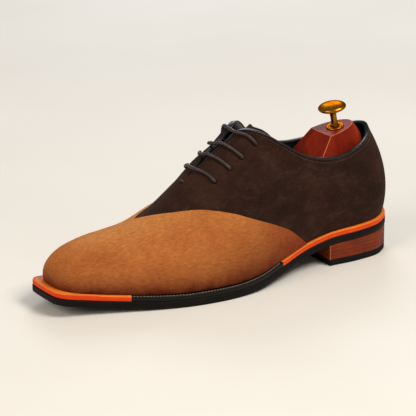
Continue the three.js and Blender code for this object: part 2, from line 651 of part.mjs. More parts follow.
// A strip of the welt between two places on the run.
function weltStrip(from, to) {
  const steps = Math.max(6, Math.round((to - from) * 34));
  const rings = [];
  for (let k = 0; k <= steps; k += 1) {
    const t = THREE.MathUtils.lerp(from, to, k / steps);
    const outer = planPoint(weltRun, t, 0.3);
    const inner = planPoint(featherRun, t, 5.5);
    const at = (plan, rise) => new THREE.Vector3(plan.x, plan.y, soleZ(plan.x) + OUTSOLE + rise);
    rings.push([at(inner, GAP), at(inner, WELT), at(outer, WELT), at(outer, GAP)]);
  }
  return loft(rings);
}

const onSole = (rise) => (x) => soleZ(x) + OUTSOLE + rise;
const onDeck = (rise) => (x) => deckZ(x) + rise;
const level = (z) => () => z;

const LEATHER_BLACK = { color: 0x14110f, roughness: 0.55, metalness: 0 };
const LEATHER_ORANGE = { color: 0xdc5418, roughness: 0.5, metalness: 0 };
const LEATHER_STACK = { color: 0x823419, roughness: 0.5, metalness: 0 };
const STEEL = { color: 0xb4b4b8, roughness: 0.35, metalness: 1 };
const BRASS = { color: 0xbe9132, roughness: 0.25, metalness: 1 };
const MAHOGANY = { color: 0x7d231c, roughness: 0.3, metalness: 0 };

const heelNails = [[262, -14], [262, 12], [284, -1]];
const nailHoles = (places, radius) =>
  places.map(([x, y]) => rodBetween(new THREE.Vector3(x, y, -5), new THREE.Vector3(x, y, 60), radius, 8));
const heelNailHoles = nailHoles(heelNails, 1.6);

addPiece("outsole", cut(sheet(weltRun, 0, 0, 1, soleZ, onSole(0), 40), heelNailHoles), LEATHER_BLACK);
const seam = 0.0015; // half the gap between welt strips, in stations
addPiece("welt_toe", weltStrip(-WELT_TOE_END + seam, WELT_TOE_END - seam), LEATHER_ORANGE);
addPiece("welt_outer_side", weltStrip(WELT_TOE_END + seam, RAND_START - seam), LEATHER_BLACK);
addPiece("heel_rand", weltStrip(RAND_START + seam, 2 - RAND_START - seam), LEATHER_ORANGE);
addPiece("welt_inner_side", weltStrip(2 - RAND_START + seam, 2 - WELT_TOE_END - seam), LEATHER_BLACK);
const cork = sheet(featherRun, 7.5, 0.05, 0.6, onSole(GAP), onSole(WELT), 18);
addPiece("cork_filler", cork, { color: 0xa87c4c, roughness: 0.95, metalness: 0 });
addPiece("insole", cut(sheet(featherRun, 5.2, 0, 1, onDeck(GAP), onDeck(INSOLE)), heelNailHoles), {
  color: 0xb98a5a, roughness: 0.8, metalness: 0,
});
const sock = sheet(featherRun, 5.6, 0.02, 1, onDeck(INSOLE + GAP), onDeck(INSOLE + GAP + SOCK_LINER));
addPiece("sock_liner", sock, LINING_BLACK);

function shank() {
  const rings = [];
  for (let x = 186; x <= 256; x += 10) {
    const half = 7;
    const low = soleZ(x) + OUTSOLE + GAP;
    const corners = [[-half, low], [half, low], [half, low + 1.6], [-half, low + 1.6]];
    rings.push(corners.map(([y, z]) => new THREE.Vector3(x, y - 4, z)));
  }
  return loft(rings);
}
addPiece("shank", shank(), STEEL);

// Heel pieces follow the welt edge from the breast round the back.
function heelSheet(lowZ, highZ) {
  const rough = sheet(weltRun, HEEL_INSET, 0.76, 1, lowZ, highZ, 14);
  return cut(rough, [boxBetween([200, -60, -10], [BREAST_X, 60, 60])]);
}
const topPieceNails = [[243, -22], [243, 18], [268, -24], [268, 21], [292, -1]];
const topNailHoles = nailHoles(topPieceNails, 1.2);
addPiece("top_piece", cut(heelSheet(level(0), level(TOP_PIECE)), topNailHoles), {
  color: 0x121212, roughness: 0.8, metalness: 0,
});
for (let k = 0; k < 3; k += 1) {
  const low = TOP_PIECE + GAP + k * (LIFT + GAP);
  const holes = k === 0 ? topNailHoles : heelNailHoles;
  addPiece("heel_lift_" + (k + 1), cut(heelSheet(level(low), level(low + LIFT)), holes), LEATHER_STACK);
}
const wedgeLow = TOP_PIECE + GAP + 3 * (LIFT + GAP);
const wedge = heelSheet(level(wedgeLow), (x) => soleZ(x) - GAP);
addPiece("heel_wedge_lift", cut(wedge, heelNailHoles), LEATHER_STACK);
topPieceNails.forEach(([x, y], k) => {
  const low = new THREE.Vector3(x, y, 0.4);
  const nail = rodBetween(low, low.clone().setZ(TOP_PIECE + GAP + LIFT - 0.3), 0.9, 8);
  addPiece("top_piece_nail_" + (k + 1), nail, BRASS);
});
heelNails.forEach(([x, y], k) => {
  const low = new THREE.Vector3(x, y, TOP_PIECE + GAP + LIFT + 2 * GAP);
  const nail = rodBetween(low, low.clone().setZ(deckZ(x) + INSOLE - 0.2), 1.3, 8);
  addPiece("heel_nail_" + (k + 1), nail, STEEL);
});

// ---- Shoe tree ----

// The toe block fills the forepart up to the lining and is flat underneath and behind.
function toeBlock() {
  const stations = [0.03, 0.06, 0.1, 0.15, 0.2, 0.25, 0.3, 0.35, 0.4, 0.455];
  const heights = [0.16, 0.33, 0.53, 0.72, 0.88];
  const rings = stations.map((station) => {
    const wall = (t) => heights.map((height) => layerPoint(t, height, TREE_CLEAR));
    const crest = layerPoint(station, 1, TREE_CLEAR);
    return [...wall(2 - station), crest, ...wall(station).reverse()];
  });
  const block = loft(rings);
  const floorCut = boxBetween([-20, -80, -20], [200, 80, 24]);
  const backCut = boxBetween([TOE_BLOCK_BACK, -80, -20], [220, 80, 160]);
  return cut(block, [floorCut, backCut]);
}

const wholeBlock = toeBlock();
const outerHalf = cut(wholeBlock, [boxBetween([-20, TOE_BLOCK_SPLIT[0], -20], [200, 90, 160])]);
const innerHalf = cut(wholeBlock, [boxBetween([-20, -90, -20], [200, TOE_BLOCK_SPLIT[1], 160])]);

const pinAt = (x, z, reach, radius) =>
  rodBetween(new THREE.Vector3(x, -reach, z), new THREE.Vector3(x, reach, z), radius, 16);
const guidePins = [[58, 34], [92, 38]];
const guideBores = guidePins.map(([x, z]) => pinAt(x, z, 15, GUIDE_PIN + RUNNING));
const SPRING_X = 75;
const SPRING_Z = 36;
const springPocket = pinAt(SPRING_X, SPRING_Z, 6, 4.6);
addPiece("tree_toe_block_outer", cut(outerHalf, guideBores.concat(springPocket)), MAHOGANY);
addPiece("tree_toe_block_inner", cut(innerHalf, guideBores.concat(springPocket)), MAHOGANY);
guidePins.forEach(([x, z], k) => {
  const from = new THREE.Vector3(x, -11, z);
  const to = new THREE.Vector3(x, 14.5, z);
  addPiece("tree_guide_pin_" + (k + 1), rodBetween(from, to, GUIDE_PIN, 16), STEEL);
});

class Helix extends THREE.Curve {
  constructor(start, axis, side, length, radius, turns) {
    super();
    Object.assign(this, { start, axis, side, length, radius, turns });
    this.third = axis.clone().cross(side);
  }
  getPoint(s, target = new THREE.Vector3()) {
    const angle = 2 * Math.PI * this.turns * s;
    return target.copy(this.start).addScaledVector(this.axis, this.length * s)
      .addScaledVector(this.side, this.radius * Math.cos(angle))
      .addScaledVector(this.third, this.radius * Math.sin(angle));
  }
}

const alongX = new THREE.Vector3(1, 0, 0);
const alongY = new THREE.Vector3(0, 1, 0);
const toeSpring = new Helix(new THREE.Vector3(SPRING_X, -5.2, SPRING_Z), alongY, alongX, 10.4, 3.4, 3);
addPiece("tree_toe_spring", tubeAlong(toeSpring, 0.45, 27, 4), STEEL);

const armDirection = new THREE.Vector3(Math.cos(ARM_ANGLE), 0, Math.sin(ARM_ANGLE));
const armPoint = (distance) => PIVOT.clone().addScaledVector(armDirection, distance);

function hingeBracket() {
  const ear = TUBE_RADIUS + GAP;
  const back = TOE_BLOCK_BACK + GAP;
  const [low, high] = [PIVOT.z - 6, PIVOT.z + 6];
  const plate = boxBetween([back, -9, low - 3], [back + 1.8, 9, high + 3]);
  const ears = [-1, 1].map((side) => {
    const [near, far] = side < 0 ? [-ear - 1.8, -ear] : [ear, ear + 1.8];
    return boxBetween([back + 0.9, near, low], [PIVOT.x + 5, far, high]);
  });
  return cut(join([plate, ...ears]), [pinAt(PIVOT.x, PIVOT.z, 12, HINGE_PIN + RUNNING)]);
}
addPiece("tree_hinge_bracket", hingeBracket(), STEEL);
addPiece("tree_hinge_pin", pinAt(PIVOT.x, PIVOT.z, TUBE_RADIUS + GAP + 2.6, HINGE_PIN), STEEL);

// A lathe shape laid along the arm.
function alongArm(profile, segments) {
  const geometry = new THREE.LatheGeometry(profile.map((p) => new THREE.Vector2(...p)), segments);
  geometry.applyQuaternion(new THREE.Quaternion().setFromUnitVectors(alongY, armDirection));
  geometry.translate(...PIVOT.toArray());
  return geometry;
}
const tubeProfile = [
  [0, -5], [TUBE_RADIUS, -5], [TUBE_RADIUS, TUBE_LENGTH], [TUBE_BORE, TUBE_LENGTH], [TUBE_BORE, 6], [0, 6],
];
const tube = cut(alongArm(tubeProfile, 16), [pinAt(PIVOT.x, PIVOT.z, 12, HINGE_PIN + RUNNING)]);
addPiece("tree_tube", tube, STEEL);
const rodRadius = TUBE_BORE - RUNNING;
const rodProfile = [[0, ROD_START], [rodRadius, ROD_START], [rodRadius, ROD_END], [0, ROD_END]];
addPiece("tree_rod", alongArm(rodProfile, 16), STEEL);
const rodSpring = new Helix(armPoint(7), armDirection, alongY, ROD_START - 8, 2.4, 7);
addPiece("tree_rod_spring", tubeAlong(rodSpring, 0.45, 49, 4), STEEL);

// Plan outline of the heel block: a straight front, full sides and a round back.
function heelBlockRing(frontX, frontHalf, wideX, backX, half, heightAt) {
  const arc = 7;
  const sidePoints = [[frontX, frontHalf]];
  for (let k = 0; k <= arc; k += 1) {
    const angle = (Math.PI / 2) * (k / arc);
    sidePoints.push([wideX + (backX - wideX) * Math.sin(angle), half * Math.cos(angle)]);
  }
  const outer = sidePoints.map(([x, w]) => [x, HEEL_BLOCK_Y - w]);
  const inner = sidePoints.slice(0, -1).reverse().map(([x, w]) => [x, HEEL_BLOCK_Y + w]);
  return [...outer, ...inner].map(([x, y]) => new THREE.Vector3(x, y, heightAt(x)));
}

function heelBlock() {
  const plateau = (x) => KNOB_SEAT.z + (x - KNOB_SEAT.x) * Math.tan(PLATEAU_TILT);
  const block = loft([
    heelBlockRing(230, 15, 246, 283, HEEL_BLOCK_HALF - 2, onDeck(INSOLE + SOCK_LINER + 5 * GAP)),
    heelBlockRing(230.5, 17.5, 243, 287, HEEL_BLOCK_HALF, level(52)),
    heelBlockRing(231, 19, 241, 286.5, HEEL_BLOCK_HALF, level(68)),
    heelBlockRing(232.5, 20.2, 239, 284, HEEL_BLOCK_HALF, level(79)),
    heelBlockRing(243.4, 15, 245.5, 280, 15.5, level(93)),
    heelBlockRing(247, 13.5, 249, 275, 13.5, plateau),
  ]);
  const bore = rodBetween(armPoint(100), armPoint(ROD_END + 1), TUBE_BORE + 0.2, 16);
  return cut(block, [bore]);
}
addPiece("tree_heel_block", heelBlock(), MAHOGANY);

// A lathe shape standing on the plateau.
function onPlateau(profile, segments) {
  const geometry = new THREE.LatheGeometry(profile.map((p) => new THREE.Vector2(...p)), segments);
  geometry.rotateX(Math.PI / 2);
  geometry.rotateY(-PLATEAU_TILT);
  geometry.translate(...KNOB_SEAT.toArray());
  return geometry;
}
const ringProfile = [[3.6, GAP], [7, GAP], [7, 0.8], [6, 1.3], [3.6, 1.3], [3.6, GAP]];
addPiece("tree_knob_ring", onPlateau(ringProfile, 16), BRASS);
const knobProfile = [
  [0, GAP], [3.2, GAP], [3.2, 2.6], [2.5, 4.5], [2.6, 11.5], [4.2, 13.6], [9.4, 15], [10.8, 16.2],
  [10.9, 17.4], [9.6, 18.6], [6, 19.7], [0, 20.2],
];
addPiece("tree_knob", onPlateau(knobProfile, 18), BRASS);

// ---- Placing ----

const box = new THREE.Box3().setFromObject(shoe);
const middle = box.getCenter(new THREE.Vector3());
shoe.position.set(-middle.x, -middle.y, -box.min.z);

export default shoe;
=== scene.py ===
import json
import math

import bmesh
import bpy
import numpy as np
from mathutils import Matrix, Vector


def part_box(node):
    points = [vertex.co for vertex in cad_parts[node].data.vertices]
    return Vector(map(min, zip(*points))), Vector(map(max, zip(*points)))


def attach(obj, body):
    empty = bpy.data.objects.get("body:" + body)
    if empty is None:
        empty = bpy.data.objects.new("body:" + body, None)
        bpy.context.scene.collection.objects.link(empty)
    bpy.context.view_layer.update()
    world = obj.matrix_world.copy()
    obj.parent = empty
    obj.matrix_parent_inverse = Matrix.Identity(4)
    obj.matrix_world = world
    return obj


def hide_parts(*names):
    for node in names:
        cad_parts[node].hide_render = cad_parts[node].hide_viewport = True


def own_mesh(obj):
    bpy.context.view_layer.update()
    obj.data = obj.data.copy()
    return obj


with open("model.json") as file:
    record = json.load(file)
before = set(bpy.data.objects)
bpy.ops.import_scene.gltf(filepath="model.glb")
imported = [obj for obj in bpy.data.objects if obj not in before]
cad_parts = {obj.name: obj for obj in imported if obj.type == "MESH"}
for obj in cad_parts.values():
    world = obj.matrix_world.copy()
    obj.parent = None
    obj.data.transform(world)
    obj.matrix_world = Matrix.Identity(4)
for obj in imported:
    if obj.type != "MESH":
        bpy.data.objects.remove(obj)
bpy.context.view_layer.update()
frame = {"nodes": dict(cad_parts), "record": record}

# Lengths below are in mm in the working frame: x runs from the tip of the toe back to the heel, -y is the
# outer side of the foot and z is up from the ground. Meshes are written in the frame's own metres.

MM = 0.001
HINGE = (121, 0, 47)
hinge_low, hinge_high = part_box("tree_hinge_pin")
SHIFT = np.array([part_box("outsole")[0].x / MM, (hinge_low.y + hinge_high.y) / 2 / MM, 0.0])

# ---- Driving dimensions ----

OUTSOLE = 5.6
WELT = 4
INSOLE = 3
SOCK_LINER = 0.9
FEATHER_LIFT = 0.9
GAP = 0.3
BREAST_X = 233.4
TOP_PIECE = 4.9
LIFT = 2.7
HEEL_INSET = 0.4
THROAT = 0.48
VAMP = (0.3, 1.7)
QUARTERS = (-1.4, 0.0)
LINING = (-4.1, -3.1)
TONGUE = (-10.9, -9.5)
TONGUE_LINING = (-13.3, -12.3)
TONGUE_CORE = 32
TONGUE_END = 14
TONGUE_ROUNDING = 0.3
TONGUE_FLATTENING = 0.25
TONGUE_WIDTH = 0.23
TONGUE_CROWN = 2.5
SEAM_LAP = 0.03
COLLAR_SKIVE = 1.2
LINING_JOIN = (0.472, 0.476)
WELT_TOE_END = 0.235
RAND_START = 0.62
BINDING_START = 0.497
LACE_RADIUS = 1.3
LACE_HOLE = 1.75
LACE_PRESS = 0.5
LACE_LAST_CROSSING = 0.65
LACE_DEPTHS = (1.0, -1.0, -3.0, -5.9)
LACE_UNDER = -6.9
LACE_OVER = 0.95
LACE_STEPS = 14
LINING_HOLE = 2.6
COLLAR_STITCH_DEPTH = 3.0
WELT_EDGE_INSET = 0.3
WELT_UNDERLAP = 5.5
SLAB_REACH = 0.1
GROOVE_DEPTH = 1.4
GROOVE_RISE = WELT - 0.26
WELT_END_GAP = 0.0005
ARM_ANGLE = math.radians(6)
PLATEAU_TILT = math.radians(11)
KNOB_SEAT = (259.6, -1, 99.9)
HEEL_BLOCK_HALF = 19.4

# Stations run from 0 at the middle of the toe to 1 at the middle of the heel.
# Edge of the welt: station, x, y.
WELT_OUTER_SIDE = [
    (0, 0, 1), (0.035, 0.3, -9), (0.07, 2.4, -17.5), (0.09, 6, -21.5), (0.14, 22, -27), (0.22, 48, -36),
    (0.3, 75, -45.5), (0.38, 101, -52), (0.46, 128, -54.5), (0.54, 156, -52), (0.62, 183, -44),
    (0.7, 208, -37), (0.78, 233, -34.6), (0.86, 262, -34.8), (0.92, 284, -30), (0.965, 298, -17), (1, 304, 0),
]
WELT_INNER_SIDE = [
    (0, 0, 1), (0.035, 0.2, 11), (0.07, 1.6, 19.5), (0.09, 5, 23.5), (0.14, 22, 28), (0.22, 48, 36),
    (0.3, 72, 42.5), (0.38, 95, 45.5), (0.46, 122, 41.5), (0.54, 150, 33), (0.62, 178, 27), (0.7, 205, 27),
    (0.78, 232, 30), (0.86, 262, 32.5), (0.92, 284, 29), (0.965, 298, 16.5), (1, 304, 0),
]
# Feather line, where the upper meets the welt: station, x, y.
FEATHER_OUTER_SIDE = [
    (0, 8, 1), (0.035, 9, -8.5), (0.07, 13, -16), (0.09, 17, -19), (0.14, 29, -24), (0.22, 52, -32),
    (0.3, 77, -40.5), (0.38, 102, -46.5), (0.46, 128, -49), (0.54, 156, -47), (0.62, 183, -40),
    (0.7, 208, -34), (0.78, 233, -32), (0.86, 262, -31.7), (0.92, 283.5, -27), (0.965, 296, -15.5),
    (1, 301, 0),
]
FEATHER_INNER_SIDE = [
    (0, 8, 1), (0.035, 9, 10.5), (0.07, 12.5, 18), (0.09, 16.5, 21.5), (0.14, 29, 26), (0.22, 52, 32.5),
    (0.3, 74, 38), (0.38, 97, 41), (0.46, 122, 37), (0.54, 150, 29.5), (0.62, 178, 24.5), (0.7, 205, 24.5),
    (0.78, 232, 27.5), (0.86, 262, 30), (0.92, 283, 26.5), (0.965, 295.5, 15), (1, 301, 0),
]
# Ridge from the toe to the throat: station, x, y, z.
RIDGE = [
    (0, 40, 1.5, 48.4), (0.09, 44, 1, 49.2), (0.14, 49, 1, 49.9), (0.22, 62, 1, 51.1), (0.3, 79, 0, 54),
    (0.38, 98, 0, 62.2), (THROAT, 122, 0, 80.3),
]
# Facing edge, then the top line round to the heel: station, x, y, z.
TOP_OUTER_SIDE = [
    (THROAT, 122, 0, 80.3), (0.54, 137, -3, 93), (0.62, 156, -6.5, 107.5), (0.66, 165, -9, 114),
    (0.685, 173, -14.5, 114), (0.7, 180, -19, 111.5), (0.73, 192, -24, 104), (0.78, 212, -27.5, 91.5),
    (0.82, 228, -28, 86), (0.86, 246, -27, 84.5), (0.92, 273, -18.5, 88.5), (0.965, 285.5, -9.5, 93.5),
    (1, 289.5, 0, 98.5),
]
TOP_INNER_SIDE = [
    (THROAT, 122, 0, 80.3), (0.54, 136.5, 2, 93), (0.62, 156, 5, 107.5), (0.66, 166, 7, 114.5),
    (0.685, 173, 12, 114.5), (0.7, 179.5, 17, 110.5), (0.73, 191, 23, 101), (0.78, 211.5, 25.5, 90.5),
    (0.82, 228, 25.5, 86.5), (0.86, 246, 25, 86.5), (0.92, 273, 17.5, 92), (0.965, 284.5, 8.5, 98),
    (1, 289.5, 0, 98.5),
]
# How the wall leaves the feather line: station, degrees outward, pull in mm.
ROOT_OUTER_SIDE = [
    (0, 13, 16), (0.09, 12, 16.5), (0.22, 8, 18), (0.38, 8, 22), (0.46, 8, 25), (0.54, 8, 32), (0.62, 8, 40),
    (0.66, 8, 44), (0.7, 8, 40), (0.78, 9, 28), (0.86, 11, 25), (0.92, 13, 27), (1, 14, 30),
]
ROOT_INNER_SIDE = [
    (0, 13, 16), (0.07, 14, 16.5), (0.14, 14, 17.5), (0.22, 12, 18), (0.38, 10, 22), (0.46, 9.5, 25),
    (0.54, 9, 32), (0.62, 8.5, 40), (0.66, 8, 44), (0.7, 8, 40), (0.78, 9, 28), (0.86, 11, 25),
    (0.92, 13, 27), (1, 14, 30),
]
# How the wall comes away from the ridge or top line: station, degrees of rise, pull in mm.
CROWN_OUTER_SIDE = [
    (0, 0, 17), (0.14, 0, 18), (0.22, 0, 18), (0.3, 0, 20), (0.38, 0, 22.5), (0.46, 0, 25), (0.54, -14, 28),
    (0.62, -24, 28), (0.66, -34, 28), (0.7, -68, 20), (0.78, -82, 16), (0.86, -84, 15), (0.92, -70, 17),
    (1, -58, 22),
]
CROWN_INNER_SIDE = [
    (0, 0, 17), (0.14, 0, 18), (0.22, 0, 17.5), (0.3, 0, 18.5), (0.38, 0, 21), (0.46, 0, 25.5),
    (0.54, -6, 32), (0.6, -14, 30), (0.64, -26, 28), (0.67, -42, 26), (0.7, -60, 22), (0.78, -82, 16),
    (0.86, -84, 15), (0.92, -70, 17), (1, -58, 22),
]
# Underside of the outsole: x, z.
SOLE_LINE = [
    (0, 10), (30, 5.6), (60, 2.2), (90, 0.2), (125, -0.3), (155, 1.4), (185, 7), (212, 13), (234, 16.8),
    (270, 18.8), (304, 20.8),
]
# Vamp seam: height on the wall from 0 to 1, station.
SEAM_OUTER_SIDE = [
    (0, 0.71), (0.11, 0.667), (0.35, 0.567), (0.55, 0.488), (0.75, 0.41), (0.89, 0.365), (1, 0.333),
]
SEAM_INNER_SIDE = [
    (0, 0.71), (0.11, 0.667), (0.35, 0.56), (0.55, 0.46), (0.75, 0.358), (0.89, 0.318), (1, 0.333),
]
# Lace holes from the throat up: station, height on the wall.
LACE_OUTER_SIDE = [(0.514, 0.76), (0.56, 0.775), (0.603, 0.79), (0.665, 0.83)]
LACE_INNER_SIDE = [(0.511, 0.78), (0.551, 0.79), (0.589, 0.8), (0.628, 0.81)]

# ---- Curves through stations ----


def hermite(s, low, low_slope, high, high_slope):
    """The cubic from low to high as s goes from 0 to 1, with the given slopes at its ends."""
    return (
        (2 * s**3 - 3 * s**2 + 1) * low + (s**3 - 2 * s**2 + s) * low_slope
        + (3 * s**2 - 2 * s**3) * high + (s**3 - s**2) * high_slope
    )


class Curve:
    """The smooth curve through rows of (t, value, value, ...)."""

    def __init__(self, rows):
        rows = np.array(rows, float)
        self.at, self.values = rows[:, 0], rows[:, 1:]
        widths = np.diff(self.at)[:, None]
        rise = np.diff(self.values, axis=0) / widths
        middle = (rise[:-1] * widths[1:] + rise[1:] * widths[:-1]) / (widths[1:] + widths[:-1])
        self.slopes = np.vstack([rise[:1], middle, rise[-1:]])

    def __call__(self, t):
        t = np.clip(np.asarray(t, float), self.at[0], self.at[-1])
        i = np.clip(np.searchsorted(self.at, t, side="right") - 1, 0, len(self.at) - 2)
        width = (self.at[i + 1] - self.at[i])[..., None]
        s = (t - self.at[i])[..., None] / width
        low, high, slopes = self.values[i], self.values[i + 1], self.slopes
        return hermite(s, low, width * slopes[i], high, width * slopes[i + 1])


def both_sides(outer_side, inner_side):
    """The two sides as one run, t = station on the outer side and 2 - station on the inner side."""
    back = [(2 - row[0], *row[1:]) for row in reversed(inner_side)]
    return list(outer_side) + back[1:]


def closed_run(outer_side, inner_side):
    """A run that closes on itself, with a few rows repeated past each end so that it stays smooth there."""
    run = both_sides(outer_side, inner_side)[:-1]
    before = [(row[0] - 2, *row[1:]) for row in run[-3:]]
    after = [(row[0] + 2, *row[1:]) for row in run[:3]]
    return Curve(before + run + after)


welt_run = closed_run(WELT_OUTER_SIDE, WELT_INNER_SIDE)
feather_run = closed_run(FEATHER_OUTER_SIDE, FEATHER_INNER_SIDE)
ridge = Curve(RIDGE)
top_run = Curve(both_sides(TOP_OUTER_SIDE, TOP_INNER_SIDE))
root_run = Curve(both_sides(ROOT_OUTER_SIDE, ROOT_INNER_SIDE))
crown_run = Curve(both_sides(CROWN_OUTER_SIDE, CROWN_INNER_SIDE))
sole_line = Curve(SOLE_LINE)
seam_lines = {-1: Curve(SEAM_OUTER_SIDE), 1: Curve(SEAM_INNER_SIDE)}


def unit(vectors):
    return vectors / np.maximum(np.linalg.norm(vectors, axis=-1, keepdims=True), 1e-9)


def smooth(low, high, value):
    """0 up to low, 1 from high on, and an S-curve between."""
    s = np.clip((np.asarray(value, float) - low) / (high - low), 0, 1)
    return s * s * (3 - 2 * s)


def wrap(t):
    return np.mod(np.asarray(t, float), 2)


def station_of(t):
    return np.minimum(wrap(t), 2 - wrap(t))


def sole_z(x):
    return np.maximum(0, sole_line(x)[..., 0])


def deck_z(x):
    return sole_z(x) + OUTSOLE + WELT


def seam_station(height, side):
    return seam_lines[side](height)[..., 0]


def plan_point(run, t, inset):
    """A point of a closed plan run, moved inward by inset in mm."""
    at = wrap(t)
    here = run(at)
    along = unit(run(at + 0.002) - run(at - 0.002))
    inward = np.stack([-along[..., 1], along[..., 0]], -1)
    return here + inward * np.asarray(inset, float)[..., None]


# ---- The upper's face ----


def top_point(t):
    station = station_of(t)
    return np.where((station <= THROAT)[..., None], ridge(station), top_run(wrap(t)))


def face_point(t, height):
    """The upper's face, from the feather line at height 0 to the ridge or top line at height 1."""
    t, height = np.broadcast_arrays(np.asarray(t, float), np.asarray(height, float))
    at = wrap(t)
    foot = feather_run(at)
    base = np.concatenate([foot, (deck_z(foot[..., 0]) + FEATHER_LIFT)[..., None]], -1)
    inward = plan_point(feather_run, at, 1.0) - foot
    top = top_point(at)
    step = top_point(at + 0.002) - top_point(at - 0.002)
    fade = np.clip((0.66 - station_of(at)) / 0.14, 0, 1)
    level = np.abs(step[..., 0]) < 1e-6
    slope = np.where(level, 0, fade * step[..., 2] / np.where(level, 1, step[..., 0]))
    lean, root_pull = np.moveaxis(root_run(at), -1, 0)
    rise, crown_pull = np.moveaxis(crown_run(at), -1, 0)
    a, b = np.radians(lean), np.radians(rise)
    root = np.stack([-inward[..., 0] * np.sin(a), -inward[..., 1] * np.sin(a), np.cos(a)], -1)
    out = unit(foot - top[..., :2])
    crown = unit(np.stack([
        out[..., 0] * np.cos(b), out[..., 1] * np.cos(b), np.sin(b) + np.cos(b) * out[..., 0] * slope,
    ], -1))
    low = base + root * root_pull[..., None]
    high = top + crown * crown_pull[..., None]
    h = height[..., None]
    return (1 - h) ** 3 * base + 3 * (1 - h) ** 2 * h * low + 3 * (1 - h) * h**2 * high + h**3 * top


def raw_normal(t, height):
    along = face_point(t + 0.004, height) - face_point(t - 0.004, height)
    up = face_point(t, height + 0.01) - face_point(t, height - 0.01)
    return unit(np.cross(along, up))


def face_normal(t, height):
    t, height = np.broadcast_arrays(np.asarray(t, float), np.asarray(height, float))
    clamped = np.clip(height, 0.02, 0.97)
    normal = raw_normal(t, clamped)
    shared = ((height >= 1) & (station_of(t) <= THROAT))[..., None]
    return np.where(shared, unit(normal + raw_normal(2 - wrap(t), clamped)), normal)


def layer_point(t, height, offset):
    return face_point(t, height) + face_normal(t, height) * np.asarray(offset, float)[..., None]


def up_vector(t):
    return unit(face_point(t, 1.0) - face_point(t, 0.99))


def below_top(t, depth):
    """The height on the wall that lies depth mm under the ridge or top line."""
    span = np.linalg.norm(face_point(t, 1.0) - face_point(t, 0.95), axis=-1) / 0.05
    return 1 - depth / span


def hole_point(side, row, offset, along=0.0, up=0.0):
    """A place at a lace hole: offset mm off the face, along in stations and up in heights from the hole."""
    station, height = (LACE_OUTER_SIDE if side < 0 else LACE_INNER_SIDE)[row]
    at = station + along
    return layer_point(np.array(at if side < 0 else 2 - at), np.array(height + up), offset)


# ---- Meshes ----


def make_object(name, points, faces, materials, marks=None, indices=None, smooth_angle=40):
    """A mesh object from points in the working frame. marks is {attribute name: one value a point}."""
    mesh = bpy.data.meshes.new(name)
    places = (np.asarray(points, float) + SHIFT) * MM
    mesh.from_pydata(places.tolist(), [], [tuple(int(k) for k in face) for face in faces])
    for material in materials:
        mesh.materials.append(material)
    if indices is not None:
        mesh.polygons.foreach_set("material_index", np.asarray(indices, np.int32))
    for label, values in (marks or {}).items():
        layer = mesh.attributes.new(label, "FLOAT", "POINT")
        layer.data.foreach_set("value", np.asarray(values, np.float32).ravel())
    mesh.validate()
    mesh.update()
    mesh.shade_smooth()
    mesh.set_sharp_from_angle(angle=math.radians(smooth_angle))
    obj = bpy.data.objects.new(name, mesh)
    bpy.context.scene.collection.objects.link(obj)
    return obj


def bevel(obj, width, segments=2, angle=40, material=-1):
    modifier = obj.modifiers.new("bevel", "BEVEL")
    modifier.material = material
    modifier.width = width * MM
    modifier.segments = segments
    modifier.limit_method = "ANGLE"
    modifier.angle_limit = math.radians(angle)
    modifier.harden_normals = False
    return obj


def relax(obj, *labels):
    """Smooths the mesh where the product of the named marks is more than a little above 0."""
    weights = np.ones(len(obj.data.vertices))
    for label in labels:
        values = np.empty(len(weights), np.float32)
        obj.data.attributes[label].data.foreach_get("value", values)
        weights *= np.clip(values, 0, 1)
    group = obj.vertex_groups.new(name="relaxed")
    for index in np.flatnonzero(weights > 0.02):
        group.add([int(index)], float(smooth(0.02, 0.4, weights[index])), "REPLACE")
    modifier = obj.modifiers.new("relax", "SMOOTH")
    modifier.factor = 0.5
    modifier.iterations = 110
    modifier.vertex_group = group.name
    return obj


def settle(obj):
    """Applies the object's modifiers to its mesh."""
    bpy.context.view_layer.update()
    graph = bpy.context.evaluated_depsgraph_get()
    made = bpy.data.meshes.new_from_object(obj.evaluated_get(graph), depsgraph=graph)
    old = obj.data
    obj.modifiers.clear()
    obj.data = made
    bpy.data.meshes.remove(old)
    made.shade_smooth()
    made.set_sharp_from_angle(angle=math.radians(40))


def grid_index(rows, cols):
    return np.arange(rows * cols).reshape(rows, cols)


def quads(index):
    """Faces of a grid of point numbers, without those that a weld has flattened to a line."""
    a, b, c, d = index[:-1, :-1], index[:-1, 1:], index[1:, 1:], index[1:, :-1]
    faces = []
    for corners in np.stack([a, b, c, d], -1).reshape(-1, 4):
        loop = [int(v) for k, v in enumerate(corners) if v != corners[k - 1]]
        if len(set(loop)) >= 3:
            faces.append(loop)
    return faces


def shell_object(name, outer, inner, materials, marks=None, joined=None):
    """A closed layer between two grids of points. joined marks the points of the last row that weld to their
    mirror image across the middle column. The rim takes the second material."""
    rows, cols = outer.shape[:2]
    index = grid_index(rows, cols)
    if joined is not None:
        for column in range(cols // 2 + 1, cols):
            if joined[column]:
                index[-1, column] = index[-1, cols - 1 - column]
    used, compact = np.unique(index, return_inverse=True)
    index = compact.reshape(rows, cols)
    count = len(used)
    points = np.vstack([outer.reshape(-1, 3)[used], inner.reshape(-1, 3)[used]])
    front = quads(index)
    back = [[v + count for v in reversed(face)] for face in front]
    edges = set()
    for face in front:
        for k, v in enumerate(face):
            following = face[(k + 1) % len(face)]
            if (following, v) in edges:
                edges.remove((following, v))
            else:
                edges.add((v, following))
    rim = [[b, a, a + count, b + count] for a, b in sorted(edges)]
    kinds = [0] * (len(front) + len(back)) + [min(1, len(materials) - 1)] * len(rim)
    doubled = {label: np.tile(np.asarray(values).ravel()[used], 2) for label, values in (marks or {}).items()}
    return make_object(name, points, front + back + rim, materials, doubled, kinds)


